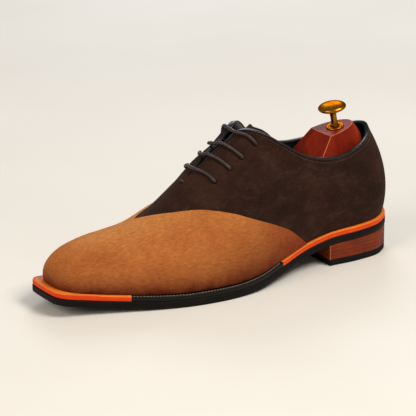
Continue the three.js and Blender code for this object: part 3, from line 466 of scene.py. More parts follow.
def loft_faces(count, around):
    """The faces over rings of points that each go round the same way, with flat ends."""
    index = grid_index(count, around)
    sides = quads(np.hstack([index, index[:, :1]]))
    return sides + [list(range(around))[::-1], list(range((count - 1) * around, count * around))]


def loft_object(name, rings, materials, smooth_angle=40):
    rings = np.asarray(rings, float)
    faces = loft_faces(*rings.shape[:2])
    return make_object(name, rings.reshape(-1, 3), faces, materials, smooth_angle=smooth_angle)


def paint_lit_faces(obj):
    """Gives the faces that look up the second material: a lighter copy that paints a highlight on the top
    faces.
    """
    for polygon in obj.data.polygons:
        if polygon.normal.z > 0.6:
            polygon.material_index = 1
    return obj


def face_outward(obj, weld=False):
    """Turns every face of a closed mesh to face out. weld first joins the points that share a place."""
    work = bmesh.new()
    work.from_mesh(obj.data)
    if weld:
        bmesh.ops.remove_doubles(work, verts=work.verts, dist=1e-6)
    bmesh.ops.recalc_face_normals(work, faces=work.faces)
    work.to_mesh(obj.data)
    work.free()
    return obj


def lathe_object(name, profile, centre, axis, side, materials, segments, smooth_angle=40):
    """A closed solid of revolution from (radius, distance along the axis) rows."""
    axis, side = unit(np.array(axis, float)), np.array(side, float)
    side = unit(side - axis * side.dot(axis))
    third = np.cross(axis, side)
    points, index = [], []
    for radius, along in profile:
        if radius < 1e-6:
            index.append([len(points)] * (segments + 1))
            points.append(np.array(centre) + axis * along)
            continue
        start = len(points)
        for k in range(segments):
            angle = 2 * math.pi * k / segments
            spoke = side * math.cos(angle) + third * math.sin(angle)
            points.append(np.array(centre) + axis * along + spoke * radius)
        index.append([start + k for k in range(segments)] + [start])
    if index[0][0] != index[0][1]:
        index.append(index[0])
    obj = make_object(name, points, quads(np.array(index)), materials, smooth_angle=smooth_angle)
    return face_outward(obj)


def resample(points, count):
    """The polyline's points at even steps along it."""
    points = np.asarray(points, float)
    along = np.concatenate([[0], np.cumsum(np.linalg.norm(np.diff(points, axis=0), axis=1))])
    even = np.linspace(0, along[-1], count)
    return np.stack([np.interp(even, along, points[:, k]) for k in range(points.shape[1])], 1), along[-1]


def through(points, steps):
    """A centripetal Catmull-Rom curve through the points."""
    points = np.asarray(points, float)
    ends = [2 * points[0] - points[1]], [2 * points[-1] - points[-2]]
    run = np.vstack([ends[0], points, ends[1]])
    curve = []
    for k in range(1, len(run) - 2):
        p0, p1, p2, p3 = run[k - 1 : k + 3]
        d0, d1, d2 = (max(np.linalg.norm(b - a), 1e-6) ** 0.5 for a, b in ((p0, p1), (p1, p2), (p2, p3)))
        m1 = ((p1 - p0) / d0 - (p2 - p0) / (d0 + d1) + (p2 - p1) / d1) * d1
        m2 = ((p2 - p1) / d1 - (p3 - p1) / (d1 + d2) + (p3 - p2) / d2) * d1
        s = np.linspace(0, 1, steps, endpoint=False)[:, None]
        curve.append(hermite(s, p1, m1, p2, m2))
    return np.vstack([*curve, points[-1:]])


def tube_rings(path, radius, sides):
    """Rings of points round a path, on side vectors that turn as little as they can."""
    tangents = unit(np.gradient(path, axis=0))
    side = unit(np.cross(tangents[0], [0.0, 0.0, 1.0]) + 1e-6)
    first = []
    for tangent in tangents:
        side = unit(side - tangent * side.dot(tangent))
        first.append(side)
    first = np.array(first)
    second = np.cross(tangents, first)
    angles = 2 * np.pi * np.arange(sides)[:, None] / sides
    return path[:, None] + (np.cos(angles) * first[:, None] + np.sin(angles) * second[:, None]) * radius


def refine(grid, steps):
    """A finer grid on smooth curves through the rows and columns of a coarse one."""
    lines = np.stack([through(row, steps) for row in grid])
    return np.stack([through(lines[:, k], steps) for k in range(lines.shape[1])], 1)


def stitch_row(path, normals, pitch, length, radius, sink):
    """The rings of each stitch in a row of short threads that dip into the surface at both ends."""
    both, total = resample(np.hstack([path, normals]), len(path))
    path, normals = both[:, :3], unit(both[:, 3:])
    along = np.linspace(0, total, len(path))
    angles = 2 * np.pi * np.arange(6) / 6

    def between(rows, place):
        return np.array([np.interp(place, along, rows[:, c]) for c in range(3)])

    stitches = []
    for k in range(max(1, int(total / pitch))):
        start = (k + 0.5) * pitch - length / 2
        rings = []
        for s in np.linspace(0, 1, 7):
            place = start + s * length
            normal = unit(between(normals, place))
            ahead = unit(between(path, place + 0.2) - between(path, place - 0.2))
            across = unit(np.cross(ahead, normal))
            swell = max(0.25, math.sin(math.pi * (0.08 + 0.84 * s))) ** 0.5
            lift = radius * 0.75 - sink * (2 * s - 1) ** 4 * 3
            centre = between(path, place) + normal * lift
            spokes = np.outer(np.cos(angles), across) + np.outer(np.sin(angles), normal)
            rings.append(centre + spokes * radius * swell)
        stitches.append(np.array(rings))
    return stitches


def stitches_object(name, stitches, material):
    points, faces = [], []
    for rings in stitches:
        faces += [[v + len(points) for v in face] for face in loft_faces(*rings.shape[:2])]
        points.extend(rings.reshape(-1, 3))
    return face_outward(make_object(name, points, faces, [material], smooth_angle=60))


# ---- Materials ----


def srgb(red, green, blue):
    def linear(value):
        value /= 255
        return value / 12.92 if value <= 0.04045 else ((value + 0.055) / 1.055) ** 2.4

    return (linear(red), linear(green), linear(blue), 1.0)


class Look:
    """A material under construction: a Principled shader and short ways to add nodes."""

    def __init__(self, name, **constants):
        self.material = bpy.data.materials.new(name)
        self.material.use_nodes = True
        self.tree = self.material.node_tree
        self.shader = self.tree.nodes["Principled BSDF"]
        self.place = self.node("ShaderNodeTexCoord").outputs["Object"]
        for label, value in constants.items():
            self.shader.inputs[label.replace("_", " ").title().replace("Ior", "IOR")].default_value = value

    def node(self, kind, inputs=None, **settings):
        made = self.tree.nodes.new(kind)
        for label, value in settings.items():
            setattr(made, label, value)
        for label, value in (inputs or {}).items():
            if isinstance(value, bpy.types.NodeSocket):
                self.tree.links.new(value, made.inputs[label])
            else:
                made.inputs[label].default_value = value
        return made

    def stretched(self, scale):
        """The place with each axis scaled, so that a pattern runs long where the scale is small."""
        return self.node("ShaderNodeMapping", {"Vector": self.place, "Scale": scale}).outputs[0]

    def noise(self, scale, detail=2.0, roughness=0.5, vector=None, distortion=0.0):
        return self.node("ShaderNodeTexNoise", {
            "Vector": vector or self.place, "Scale": scale, "Detail": detail, "Roughness": roughness,
            "Distortion": distortion,
        }).outputs[0]

    def cells(self, scale, feature="F1", vector=None):
        return self.node("ShaderNodeTexVoronoi", {"Vector": vector or self.place, "Scale": scale},
                         feature=feature).outputs["Distance"]

    def ramp(self, value, *stops):
        made = self.node("ShaderNodeValToRGB", {"Fac": value})
        elements = made.color_ramp.elements
        while len(elements) < len(stops):
            elements.new(0.5)
        for element, (position, colour) in zip(elements, stops):
            element.position = position
            element.color = colour if isinstance(colour, tuple) else (colour, colour, colour, 1.0)
        return made.outputs["Color"]

    def range(self, value, low, high, to_low=0.0, to_high=1.0):
        return self.node("ShaderNodeMapRange", {
            "Value": value, "From Min": low, "From Max": high, "To Min": to_low, "To Max": to_high,
        }).outputs[0]

    def math(self, operation, a, b=0.0):
        return self.node("ShaderNodeMath", {0: a, 1: b}, operation=operation).outputs[0]

    def mark(self, name):
        return self.node("ShaderNodeAttribute", attribute_name=name).outputs["Fac"]

    def mix(self, factor, a, b, blend="MIX"):
        made = self.node("ShaderNodeMix", {0: factor, 6: a, 7: b}, data_type="RGBA", blend_type=blend)
        return made.outputs[2]

    def shade(self, base, value):
        """The colour with every channel multiplied by a value."""
        grey = self.node("ShaderNodeCombineColor", {0: value, 1: value, 2: value}).outputs[0]
        return self.mix(1.0, base, grey, "MULTIPLY")

    def feed(self, label, value):
        socket = self.shader.inputs[label]
        if isinstance(value, bpy.types.NodeSocket):
            self.tree.links.new(value, socket)
        else:
            socket.default_value = value

    def finish(self, colour, roughness, *bumps):
        """Joins up the shader and returns the material. Each bump is (height, strength, depth in mm)."""
        self.feed("Base Color", colour)
        self.feed("Roughness", roughness)
        normal = None
        for height, strength, depth in bumps:
            inputs = {"Height": height, "Strength": strength, "Distance": depth * MM}
            if normal is not None:
                inputs["Normal"] = normal
            normal = self.node("ShaderNodeBump", inputs).outputs[0]
        if normal is not None:
            self.feed("Normal", normal)
        return self.material


def suede_tan():
    look = Look("suede_tan", sheen_weight=0.1, sheen_roughness=0.5, specular_ior_level=0.12)
    look.shader.inputs["Sheen Tint"].default_value = srgb(235, 170, 110)
    blotch = look.noise(34, 4, 0.6)
    nap = look.noise(620, 3, 0.65, vector=look.stretched((0.35, 1, 1.4)), distortion=0.3)
    grain = look.noise(1900, 2, 0.6)
    base = look.ramp(blotch, (0.3, srgb(156, 86, 38)), (0.52, srgb(170, 98, 47)), (0.75, srgb(180, 110, 56)))
    # painted highlight: the vamp is painted lighter towards its top, where the light falls
    base = look.mix(look.range(look.mark("lit_crest"), 0, 1, 0, 0.75), base, srgb(186, 122, 64))
    patches = look.range(look.noise(90, 3, 0.6), 0.25, 0.75, 0.75, 1.1)
    # darker red-brown low on the wall near the welt: partly real burnish, partly painted shade
    uneven = look.math("MULTIPLY", look.mark("burnish_and_shade"), patches)
    base = look.mix(uneven, base, srgb(80, 21, 9))
    base = look.mix(look.range(look.mark("rear"), 0, 1, 0, 0.65), base, srgb(142, 56, 24))
    streak = look.range(nap, 0.3, 0.72, 0.76, 1.2)
    base = look.shade(base, streak)
    rough = look.range(nap, 0.3, 0.7, 0.98, 0.8)
    return look.finish(base, rough, (nap, 0.5, 0.25), (grain, 0.55, 0.12), (blotch, 0.25, 0.6))


def suede_dark():
    look = Look("suede_dark", sheen_weight=0.06, sheen_roughness=0.5, specular_ior_level=0.1)
    look.shader.inputs["Sheen Tint"].default_value = srgb(190, 150, 128)
    cloud = look.noise(26, 4, 0.62)
    brushed = look.noise(70, 5, 0.68, vector=look.stretched((0.8, 1, 1.5)), distortion=0.6)
    nap = look.noise(760, 3, 0.65, vector=look.stretched((0.5, 1, 1.2)), distortion=0.3)
    base = look.ramp(cloud, (0.32, srgb(32, 18, 12)), (0.5, srgb(42, 24, 17)), (0.7, srgb(54, 34, 25)))
    base = look.mix(look.range(brushed, 0.5, 0.78, 0, 0.5), base, srgb(76, 52, 40))
    streak = look.range(nap, 0.3, 0.72, 0.75, 1.2)
    base = look.shade(base, streak)
    rough = look.range(nap, 0.3, 0.7, 1.0, 0.84)
    grain = look.noise(2100, 2, 0.6)
    return look.finish(base, rough, (nap, 0.5, 0.25), (grain, 0.5, 0.12), (brushed, 0.2, 0.5))


def cut_edge(name, pale, dark):
    """A cut leather edge: fibres and a little dirt."""
    look = Look(name, specular_ior_level=0.2)
    fibre = look.noise(900, 3, 0.7)
    return look.finish(look.ramp(fibre, (0.3, dark), (0.7, pale)), 0.85, (fibre, 0.5, 0.15))


def smooth_leather(name, dark, light, roughness, grain, shine):
    """Finished leather: pebbled grain, fine texture and uneven polish."""
    look = Look(name, specular_ior_level=shine)
    pebbles = look.cells(grain)
    fine = look.noise(grain * 3, 2, 0.6)
    tone = look.noise(45, 4, 0.6)
    base = look.ramp(tone, (0.3, dark), (0.72, light))
    base = look.mix(look.range(pebbles, 0.1, 0.6, 0, 0.25), base, dark)
    rough = look.range(tone, 0.3, 0.7, roughness - 0.08, roughness + 0.1)
    return look.finish(base, rough, (pebbles, 0.22, 0.12), (fine, 0.25, 0.06))


def edge_leather(name, dark, light, roughness, shine, wax=0.0):
    """Stacked or trimmed leather seen on its cut side: level fibres, stain and wax."""
    look = Look(name, specular_ior_level=shine, coat_weight=wax, coat_roughness=0.35)
    level = look.noise(170, 4, 0.65, vector=look.stretched((0.12, 0.12, 2.4)))
    stain = look.noise(55, 4, 0.6)
    base = look.ramp(stain, (0.3, dark), (0.7, light))
    base = look.mix(look.range(level, 0.45, 0.7, 0, 0.35), base, dark)
    rough = look.range(level, 0.3, 0.7, roughness - 0.1, roughness + 0.12)
    fine = look.noise(1100, 2, 0.6)
    return look.finish(base, rough, (level, 0.4, 0.12), (fine, 0.25, 0.06))


def rubber_black():
    look = Look("rubber_black", specular_ior_level=0.15)
    dust = look.noise(120, 4, 0.65)
    base = look.ramp(dust, (0.35, srgb(9, 8, 8)), (0.75, srgb(24, 21, 19)))
    return look.finish(base, look.range(dust, 0.3, 0.7, 0.7, 0.86), (look.noise(1500, 3, 0.6), 0.4, 0.1))


def wood(name, dark, middle, light):
    look = Look(name, specular_ior_level=0.05)
    grain = look.noise(55, 5, 0.6, vector=look.stretched((1.0, 1.0, 0.14)), distortion=0.8)
    pores = look.noise(900, 2, 0.5, vector=look.stretched((1.0, 1.0, 0.05)))
    base = look.ramp(grain, (0.25, dark), (0.5, middle), (0.78, light))
    base = look.mix(look.range(pores, 0.55, 0.75, 0, 0.45), base, dark)
    return look.finish(base, look.range(grain, 0.3, 0.7, 0.42, 0.56), (pores, 0.15, 0.08), (grain, 0.12, 0.2))


def metal(name, dark, light, roughness, brush=(1, 1, 1), rim=(1.0, 1.0, 1.0, 1.0)):
    """Bare metal with fine scratches and patina. rim tints what it reflects at a grazing angle."""
    look = Look(name, metallic=1.0)
    look.shader.inputs["Specular Tint"].default_value = rim
    scratch = look.noise(1300, 3, 0.6, vector=look.stretched(brush))
    patina = look.noise(110, 4, 0.6)
    base = look.ramp(patina, (0.3, dark), (0.7, light))
    rough = look.range(scratch, 0.3, 0.7, roughness - 0.06, roughness + 0.12)
    return look.finish(base, rough, (scratch, 0.08, 0.05))


def thread(name, dark, light):
    look = Look(name, specular_ior_level=0.4, coat_weight=0.2, coat_roughness=0.4)
    fibre = look.noise(2200, 2, 0.6, distortion=0.4)
    tone = look.noise(240, 3, 0.6)
    base = look.mix(look.range(fibre, 0.35, 0.7, 0, 0.4), look.ramp(tone, (0.3, dark), (0.7, light)), dark)
    return look.finish(base, look.range(fibre, 0.3, 0.7, 0.5, 0.72), (fibre, 0.35, 0.08))


def cork():
    look = Look("cork", specular_ior_level=0.2)
    crumbs = look.cells(420)
    base = look.ramp(crumbs, (0.1, srgb(196, 152, 100)), (0.6, srgb(112, 74, 42)))
    return look.finish(base, 0.9, (crumbs, 0.6, 0.3))


def board(name, dark, light):
    """Pressed leather board, with short fibres."""
    look = Look(name, specular_ior_level=0.2)
    fibre = look.noise(500, 4, 0.7, vector=look.stretched((0.5, 1, 1)))
    return look.finish(look.ramp(fibre, (0.3, dark), (0.7, light)), 0.9, (fibre, 0.5, 0.2))


LOOKS = {
    "suede_tan": suede_tan(),
    "suede_dark": suede_dark(),
    "leather_black": edge_leather("leather_black", srgb(6, 4, 2), srgb(20, 11, 6), 0.6, 0.14),
    "leather_orange": smooth_leather("leather_orange", srgb(206, 52, 6), srgb(230, 72, 10), 0.6, 300, 0.16),
    "leather_stack": edge_leather("leather_stack", srgb(92, 32, 11), srgb(136, 52, 18), 0.55, 0.16),
    "leather_lining": smooth_leather("leather_lining", srgb(6, 6, 8), srgb(14, 15, 19), 0.4, 520, 0.4),
    "leather_insole": board("leather_insole", srgb(166, 120, 78), srgb(198, 154, 106)),
    "leather_board": board("leather_board", srgb(130, 116, 94), srgb(172, 158, 132)),
    "cork": cork(),
    "rubber_black": rubber_black(),
    "steel": metal("steel", srgb(150, 152, 156), srgb(196, 197, 200), 0.3, (0.1, 1, 1)),
    "eyelet_metal": metal("eyelet_metal", srgb(46, 42, 40), srgb(84, 78, 74), 0.42),
    "brass": metal("brass", srgb(132, 80, 18), srgb(174, 118, 36), 0.26, rim=srgb(186, 140, 60)),
    "wood_mahogany": wood("wood_mahogany", srgb(88, 18, 9), srgb(132, 36, 15), srgb(164, 58, 22)),
    "cord_brown": thread("cord_brown", srgb(30, 20, 18), srgb(60, 42, 37)),
}
# painted highlight: a lighter, pinker copy of the wood on the heel block's bevels, where the edges catch the
# light
WOOD_EDGE_HIGHLIGHT = wood("wood_painted_edge_highlight", srgb(168, 84, 62), srgb(206, 122, 96), srgb(228, 150, 124))
# painted highlight: a lighter copy of the orange leather for the welt's upward faces, where the light falls
ORANGE_LIT_TOP = smooth_leather("leather_orange_painted_lit_top", srgb(222, 112, 28), srgb(240, 142, 48), 0.6, 300, 0.16)
WELT_BLACK = smooth_leather("welt_black", srgb(6, 5, 5), srgb(16, 14, 14), 0.45, 420, 0.2)
VAMP_EDGE = cut_edge("vamp_cut_edge", srgb(232, 170, 100), srgb(186, 116, 60))
DARK_EDGE = cut_edge("quarter_cut_edge", srgb(58, 38, 30), srgb(26, 16, 13))
# painted highlight: a lighter copy of the stack leather on the heel's bevelled edges, where they catch the
# light
STACK_EDGE_HIGHLIGHT = edge_leather("stack_painted_edge_highlight", srgb(170, 78, 28), srgb(206, 108, 44), 0.45, 0.3, wax=0.08)
THREAD_PALE = thread("thread_pale", srgb(120, 104, 82), srgb(176, 158, 128))
THREAD_ORANGE = thread("thread_orange", srgb(196, 82, 22), srgb(228, 116, 44))
THREAD_BROWN = thread("thread_brown", srgb(56, 38, 29), srgb(90, 66, 50))


def finish_piece(obj, body, slot_name, *nodes):
    """Says which body a piece rides on and the CAD nodes it stands for. slot_name, its finish, is not used.
    """
    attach(obj, body)
    if nodes:
        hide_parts(*nodes)
    return obj


# ---- Upper ----

UPPER_ROWS = 64


def span_grid(start, columns, rows=UPPER_ROWS):
    """t and height over a run of the upper from start(height, side) round the heel to the other side."""
    heights = np.linspace(0, 1, rows)[:, None]
    across = np.linspace(0, 1, columns)[None, :]
    first, last = start(heights, -1), 2 - start(heights, 1)
    return first + (last - first) * across, np.repeat(heights, columns, 1)


def toe_grid(end, columns, rows=UPPER_ROWS):
    """t and height over a run of the upper from -end(height, 1) round the toe to end(height, -1)."""
    heights = np.linspace(0, 1, rows)[:, None]
    across = np.linspace(-1, 1, columns)[None, :]
    return np.where(across < 0, end(heights, 1), end(heights, -1)) * across, np.repeat(heights, columns, 1)


def upper_layer(name, grid, offsets, materials, marks=None):
    t, heights = grid
    inner, outer = offsets
    joined = station_of(t[-1]) <= THROAT
    shape = t.shape
    outer_points = layer_point(t, heights, np.broadcast_to(outer, shape))
    inner_points = layer_point(t, heights, np.broadcast_to(inner, shape))
    return shell_object(name, outer_points, inner_points, materials, marks, joined)


def build_vamp():
    t, heights = toe_grid(seam_station, 281)
    edge = np.abs(t) / np.where(t < 0, seam_station(heights, 1), seam_station(heights, -1))
    skive = smooth(0.965, 1.0, edge) * 0.7
    marks = {
        # low on the wall: real burnish together with painted shade near the welt
        "burnish_and_shade": np.exp(-((heights / 0.17) ** 1.4)),
        # painted highlight mask, rising towards the top of the wall
        "lit_crest": smooth(0.45, 1.0, heights),
        "rear": smooth(0.5, 0.72, np.abs(t)) * (1 - smooth(0.2, 0.5, heights)),
        "ahead": 1 - smooth(0.16, 0.28, np.abs(t)),
    }
    looks = [LOOKS["suede_tan"], VAMP_EDGE]
    vamp = upper_layer("vamp_leather", (t, heights), (VAMP[0], VAMP[1] - skive), looks, marks)
    relax(vamp, "lit_crest", "ahead")
    bevel(vamp, 0.22)
    finish_piece(vamp, "shoe", "suede_tan", "vamp")


def cylinders(ends, aside, radius, sides):
    """One mesh of cylinders between (low, high) pairs of points, to cut holes with."""
    points, faces = [], []
    for low, high in ends:
        axis = unit(high - low)
        across = unit(np.cross(axis, aside))
        third = np.cross(axis, across)
        faces += [[v + len(points) for v in face] for face in loft_faces(2, sides)]
        for end in (low, high):
            for k in range(sides):
                angle = 2 * math.pi * k / sides
                points.append(end + (across * math.cos(angle) + third * math.sin(angle)) * radius)
    return face_outward(make_object("cutter", points, faces, []))


def punch(obj, cutter):
    """Cuts the cutter's shape out of an object and deletes the cutter."""
    modifier = obj.modifiers.new("holes", "BOOLEAN")
    modifier.object = cutter
    modifier.operation = "DIFFERENCE"
    modifier.solver = "EXACT"
    settle(obj)
    mesh = cutter.data
    bpy.data.objects.remove(cutter)
    bpy.data.meshes.remove(mesh)


def lace_hole_cutters(radius):
    ends = [
        tuple(hole_point(side, row, offset) for offset in (-7.0, 4.0))
        for side in (-1, 1) for row in range(len(LACE_OUTER_SIDE))
    ]
    return cylinders(ends, (0, 0, 1), radius, 20)


def build_quarters():
    t, heights = span_grid(lambda h, side: seam_station(h, side) - SEAM_LAP, 301)
    face = face_point(t, heights)
    cord, _ = resample(through(lace_route(), LACE_STEPS), 600)
    away = np.full(t.shape, np.inf)
    for point in cord:
        away = np.minimum(away, np.linalg.norm(face - point, axis=-1))
    reach, softness = 0.9, 1.1
    press = LACE_PRESS * np.exp(-((np.maximum(0, away - reach) / softness) ** 2))
    offsets = (np.full(t.shape, QUARTERS[0]), QUARTERS[1] - press)
    quarters = upper_layer("quarters_leather", (t, heights), offsets, [LOOKS["suede_dark"], DARK_EDGE])
    punch(quarters, lace_hole_cutters(LACE_HOLE))
    finish_piece(quarters, "shoe", "suede_dark", "quarters")


def collar_skive(t):
    """How far the lining comes out towards the quarters along the collar's edge, in mm."""
    return COLLAR_SKIVE * smooth(0.7, 0.78, station_of(t))


def build_linings():
    black = [LOOKS["leather_lining"]]
    t, heights = span_grid(lambda h, side: LINING_JOIN[1] + 0 * h, 201, 36)
    skive = collar_skive(t) * smooth(0.8, 1.0, heights)
    offsets = (LINING[0] + skive, LINING[1] + skive)
    lining = upper_layer("quarter_lining_leather", (t, heights), offsets, black)
    punch(lining, lace_hole_cutters(LINING_HOLE))
    finish_piece(lining, "shoe", "leather_lining", "quarter_lining")
    grid = toe_grid(lambda h, side: LINING_JOIN[0] + 0 * h, 161, 36)
    lining = upper_layer("vamp_lining_leather", grid, LINING, black)
    finish_piece(lining, "shoe", "leather_lining", "vamp_lining")


def build_binding():
    """The strip that rolls over the facing edges and the top line."""
    outer_leg = [(0.07, -0.75), (0.33, -0.65), (0.45, -0.3), (0.45, 0.15), (0.25, 0.6), (-0.3, 0.92)]
    inner_leg = [(0.3, 0.92), (-0.25, 0.6), (-0.42, 0.1), (-0.42, -0.9), (-0.07, -1.1), (-0.05, 0.12)]
    t = np.linspace(BINDING_START, 2 - BINDING_START, 321)
    size = 0.36 + 0.64 * smooth(BINDING_START, 0.57, station_of(t))
    outer_face = np.full_like(t, QUARTERS[1])
    inner_face = LINING[0] + collar_skive(t)
    middle = (outer_face + inner_face) / 2
    half = (outer_face - inner_face) / 2
    centre = layer_point(t, np.ones_like(t), middle)
    across = [half + out for out, _ in outer_leg] + [0 * half] + [out - half for out, _ in inner_leg]
    rise = [z for _, z in outer_leg] + [1.0] + [z for _, z in inner_leg]
    across, rise = np.stack(across + [half + 0.05], 1), np.array([*rise, 0.12])
    section = np.stack([across, np.broadcast_to(rise, across.shape)], -1)
    normal, up = face_normal(t, np.ones_like(t)), up_vector(t)
    scaled = section * size[:, None, None]
    rings = centre[:, None] + normal[:, None] * scaled[..., :1] + up[:, None] * scaled[..., 1:]
    binding = loft_object("collar_binding_leather", rings, [LOOKS["leather_lining"]], smooth_angle=60)
    finish_piece(face_outward(binding), "shoe", "leather_lining", "collar_binding")


def build_edge_stitching():
    t = np.linspace(BINDING_START + 0.07, 2 - BINDING_START - 0.07, 900)
    heights = below_top(t, COLLAR_STITCH_DEPTH)
    path = layer_point(t, heights, np.zeros_like(t))
    stitches = stitch_row(path, face_normal(t, heights), 2.3, 1.6, 0.24, 0.12)
    finish_piece(stitches_object("collar_stitching", stitches, THREAD_BROWN), "shoe", "cord_brown")


def tongue_grid(offset):
    """The tongue's surface at an offset: rows from the throat up, each from one edge over the middle."""
    stations = [0.455, 0.48, 0.51, 0.54, 0.57, 0.6, 0.63, 0.66]
    heights = np.array([1 - TONGUE_WIDTH * part for part in (1, 0.66, 0.33)])

    def section(station):
        middle = (top_point(np.array(station)) + top_point(np.array(2 - station))) / 2
        core = middle + np.array([0.6, 0, -0.8]) * TONGUE_CORE

        def sunk(points, depth):
            return points + unit(core - points) * depth

        near, far = (sunk(face_point(np.full(3, t), heights), -offset) for t in (station, 2 - station))
        return np.vstack([near, sunk(middle[None], -offset - TONGUE_CROWN), far[::-1]])

    rows = [section(station) for station in stations]
    edge = (np.arange(7) - 3) / 3
    step = np.stack([0.8 + 0.4 * edge**2, 0.25 * edge, 0.6 + 0.45 * edge**2], 1)
    step *= 1 - TONGUE_ROUNDING * edge[:, None] ** 2
    step[3, 2] -= TONGUE_FLATTENING
    rows += [rows[-1] + step * TONGUE_END * part for part in (0.5, 1)]
    return refine(np.array(rows), 6)


def build_tongue():
    for name, (inner, outer), slot_name, node in (
        ("tongue_leather", TONGUE, "suede_dark", "tongue"),
        ("tongue_lining_leather", TONGUE_LINING, "leather_lining", "tongue_lining"),
    ):
        edge = DARK_EDGE if slot_name == "suede_dark" else LOOKS[slot_name]
        obj = shell_object(name, tongue_grid(outer), tongue_grid(inner), [LOOKS[slot_name], edge])
        bevel(face_outward(obj), 0.35, 3)
        finish_piece(obj, "shoe", slot_name, node)


def build_bar_tack():
    seat = layer_point(np.array(THROAT - 0.006), np.array(1.0), 0.75)
    profile = [(0, -2.7)]
    for k in range(61):
        along = -2.6 + 5.2 * k / 60
        swell = math.sqrt(max(0.05, 1 - (along / 2.75) ** 2))
        profile.append((0.62 * swell * (1 + 0.1 * math.cos(2 * math.pi * along / 0.5)), along))
    profile.append((0, 2.7))
    tack = lathe_object("throat_stitch_bar", profile, seat, (0, 1, 0), (1, 0, 0), [THREAD_BROWN], 16, 80)
    finish_piece(tack, "shoe", "cord_brown", "throat_bar_tack")


# ---- Lace ----


def lace_route():
    """Straight bars over the facings, joined by runs under them, with both ends tucked inside."""
    rows = len(LACE_OUTER_SIDE)

    def down(side, row):
        return [hole_point(side, row, offset) for offset in LACE_DEPTHS]

    def bar(side, row):
        def near_edge(s):
            return [hole_point(s, row, LACE_OVER, 0, 0.1)]

        def at_edge(s):
            station, height = (LACE_OUTER_SIDE if s < 0 else LACE_INNER_SIDE)[row]
            crossing = station if row < rows - 1 else LACE_LAST_CROSSING
            return hole_point(s, row, LACE_RADIUS + LACE_OVER, crossing - station, 1 - height)

        ends = [at_edge(side), at_edge(-side)]
        middle = (ends[0] + ends[1]) / 2
        crossing = [middle] if row == 0 else [ends[0], middle, ends[1]]
        return near_edge(side) + crossing + near_edge(-side)[::-1]

    def tail(side, row, along):
        return [
            hole_point(side, row, LACE_UNDER, 0.3 * along, -0.03),
            hole_point(side, row, LACE_UNDER, 0.8 * along, -0.11),
            hole_point(side, row, LACE_UNDER - 0.6, along, -0.21),
        ]

    route = tail(1, 0, 0.014)[::-1]
    side = 1
    for row in range(rows):
        route += down(side, row)[::-1] + bar(side, row) + down(-side, row)
        side = -side
        if row < rows - 1:
            route.append((hole_point(side, row, LACE_UNDER) + hole_point(side, row + 1, LACE_UNDER)) / 2)
    return route + tail(side, rows - 1, -0.03)


def build_lace():
    """A round waxed cord of four twisted strands."""
    sides, strand_lay = 16, 4.2
    path, length = resample(through(lace_route(), LACE_STEPS), 1100)
    along = np.linspace(0, length, len(path))
    angles = 2 * np.pi * np.arange(sides) / sides
    turn = 2 * np.pi * along / strand_lay
    ripple = 1 + 0.055 * np.cos(4 * (angles[None, :] - turn[:, None] / 2))
    rings = tube_rings(path, (LACE_RADIUS * ripple)[..., None], sides)
    lace = loft_object("lace_cord", rings, [LOOKS["cord_brown"]], smooth_angle=80)
    finish_piece(face_outward(lace), "shoe", "cord_brown", "lace")


# ---- Bottom and heel ----


def sole_sheet(name, run, stations, low, high, profile, materials):
    """A sheet between two heights, with a ring of points for each (inset, from the low face, rise) row of its
    edge, closed across by ladders of quads."""
    count = 110
    t = np.linspace(*stations, count)
    rings = []
    for inset, from_low, rise in profile:
        plan = np.vstack([plan_point(run, t, inset), plan_point(run, 2 - t, inset)[::-1]])
        z = (low if from_low else high)(plan[:, 0]) + rise
        rings.append(np.column_stack([plan, z]))
    rings = np.array(rings)
    around = rings.shape[1]
    index = grid_index(len(rings), around)
    faces = quads(np.hstack([index, index[:, :1]]))
    for ring, turn in ((0, 1), (len(rings) - 1, -1)):
        base = ring * around
        for k in range(count - 1):
            face = [base + k, base + k + 1, base + around - 2 - k, base + around - 1 - k]
            faces.append(face[::turn])
    obj = face_outward(make_object(name, rings.reshape(-1, 3), faces, materials), weld=True)
    obj.data.set_sharp_from_angle(angle=math.radians(40))
    return obj


def build_outsole():
    profile = [
        (9, True, 0), (7, True, 0), (4.4, True, 0), (4.0, True, 0.25), (3.6, True, 0.3), (3.2, True, 0.25),
        (2.8, True, 0), (1.3, True, 0), (0.6, True, 0.15), (0.15, True, 0.6), (0, True, 1.3),
        (0, False, -1.0), (0.12, False, -0.5), (0.45, False, -0.12), (1.0, False, 0), (6, False, 0),
    ]
    def top(x):
        return sole_z(x) + OUTSOLE

    black = [LOOKS["leather_black"]]
    outsole = sole_sheet("outsole_leather", welt_run, (0, 1), sole_z, top, profile, black)
    finish_piece(outsole, "shoe", "leather_black", "outsole")


def build_insoles():
    def deck(rise):
        return lambda x: deck_z(x) + rise

    edge = [
        (1.2, True, 0), (0.3, True, 0.05), (0, True, 0.3), (0, False, -0.3), (0.3, False, -0.05),
        (1.2, False, 0),
    ]
    shifted = [(inset + 5.6, low, rise * 0.6) for inset, low, rise in edge]
    sock = sole_sheet("sock_liner_leather", feather_run, (0.02, 1), deck(INSOLE + GAP),
                      deck(INSOLE + GAP + SOCK_LINER), shifted, [LOOKS["leather_lining"]])
    finish_piece(sock, "shoe", "leather_lining", "sock_liner")
    shifted = [(inset + 5.2, low, rise) for inset, low, rise in edge]
    insole = sole_sheet("insole_leather", feather_run, (0, 1), deck(GAP), deck(INSOLE), shifted,
                        [LOOKS["leather_insole"]])
    finish_piece(insole, "shoe", "leather_insole", "insole")


def welt_band(t):
    """The welt's outer edge in plan, the direction in from it, and the width to its inner edge."""
    outer = plan_point(welt_run, t, WELT_EDGE_INSET)
    across = plan_point(feather_run, t, WELT_UNDERLAP) - outer
    return outer, unit(across), np.linalg.norm(across, axis=1)


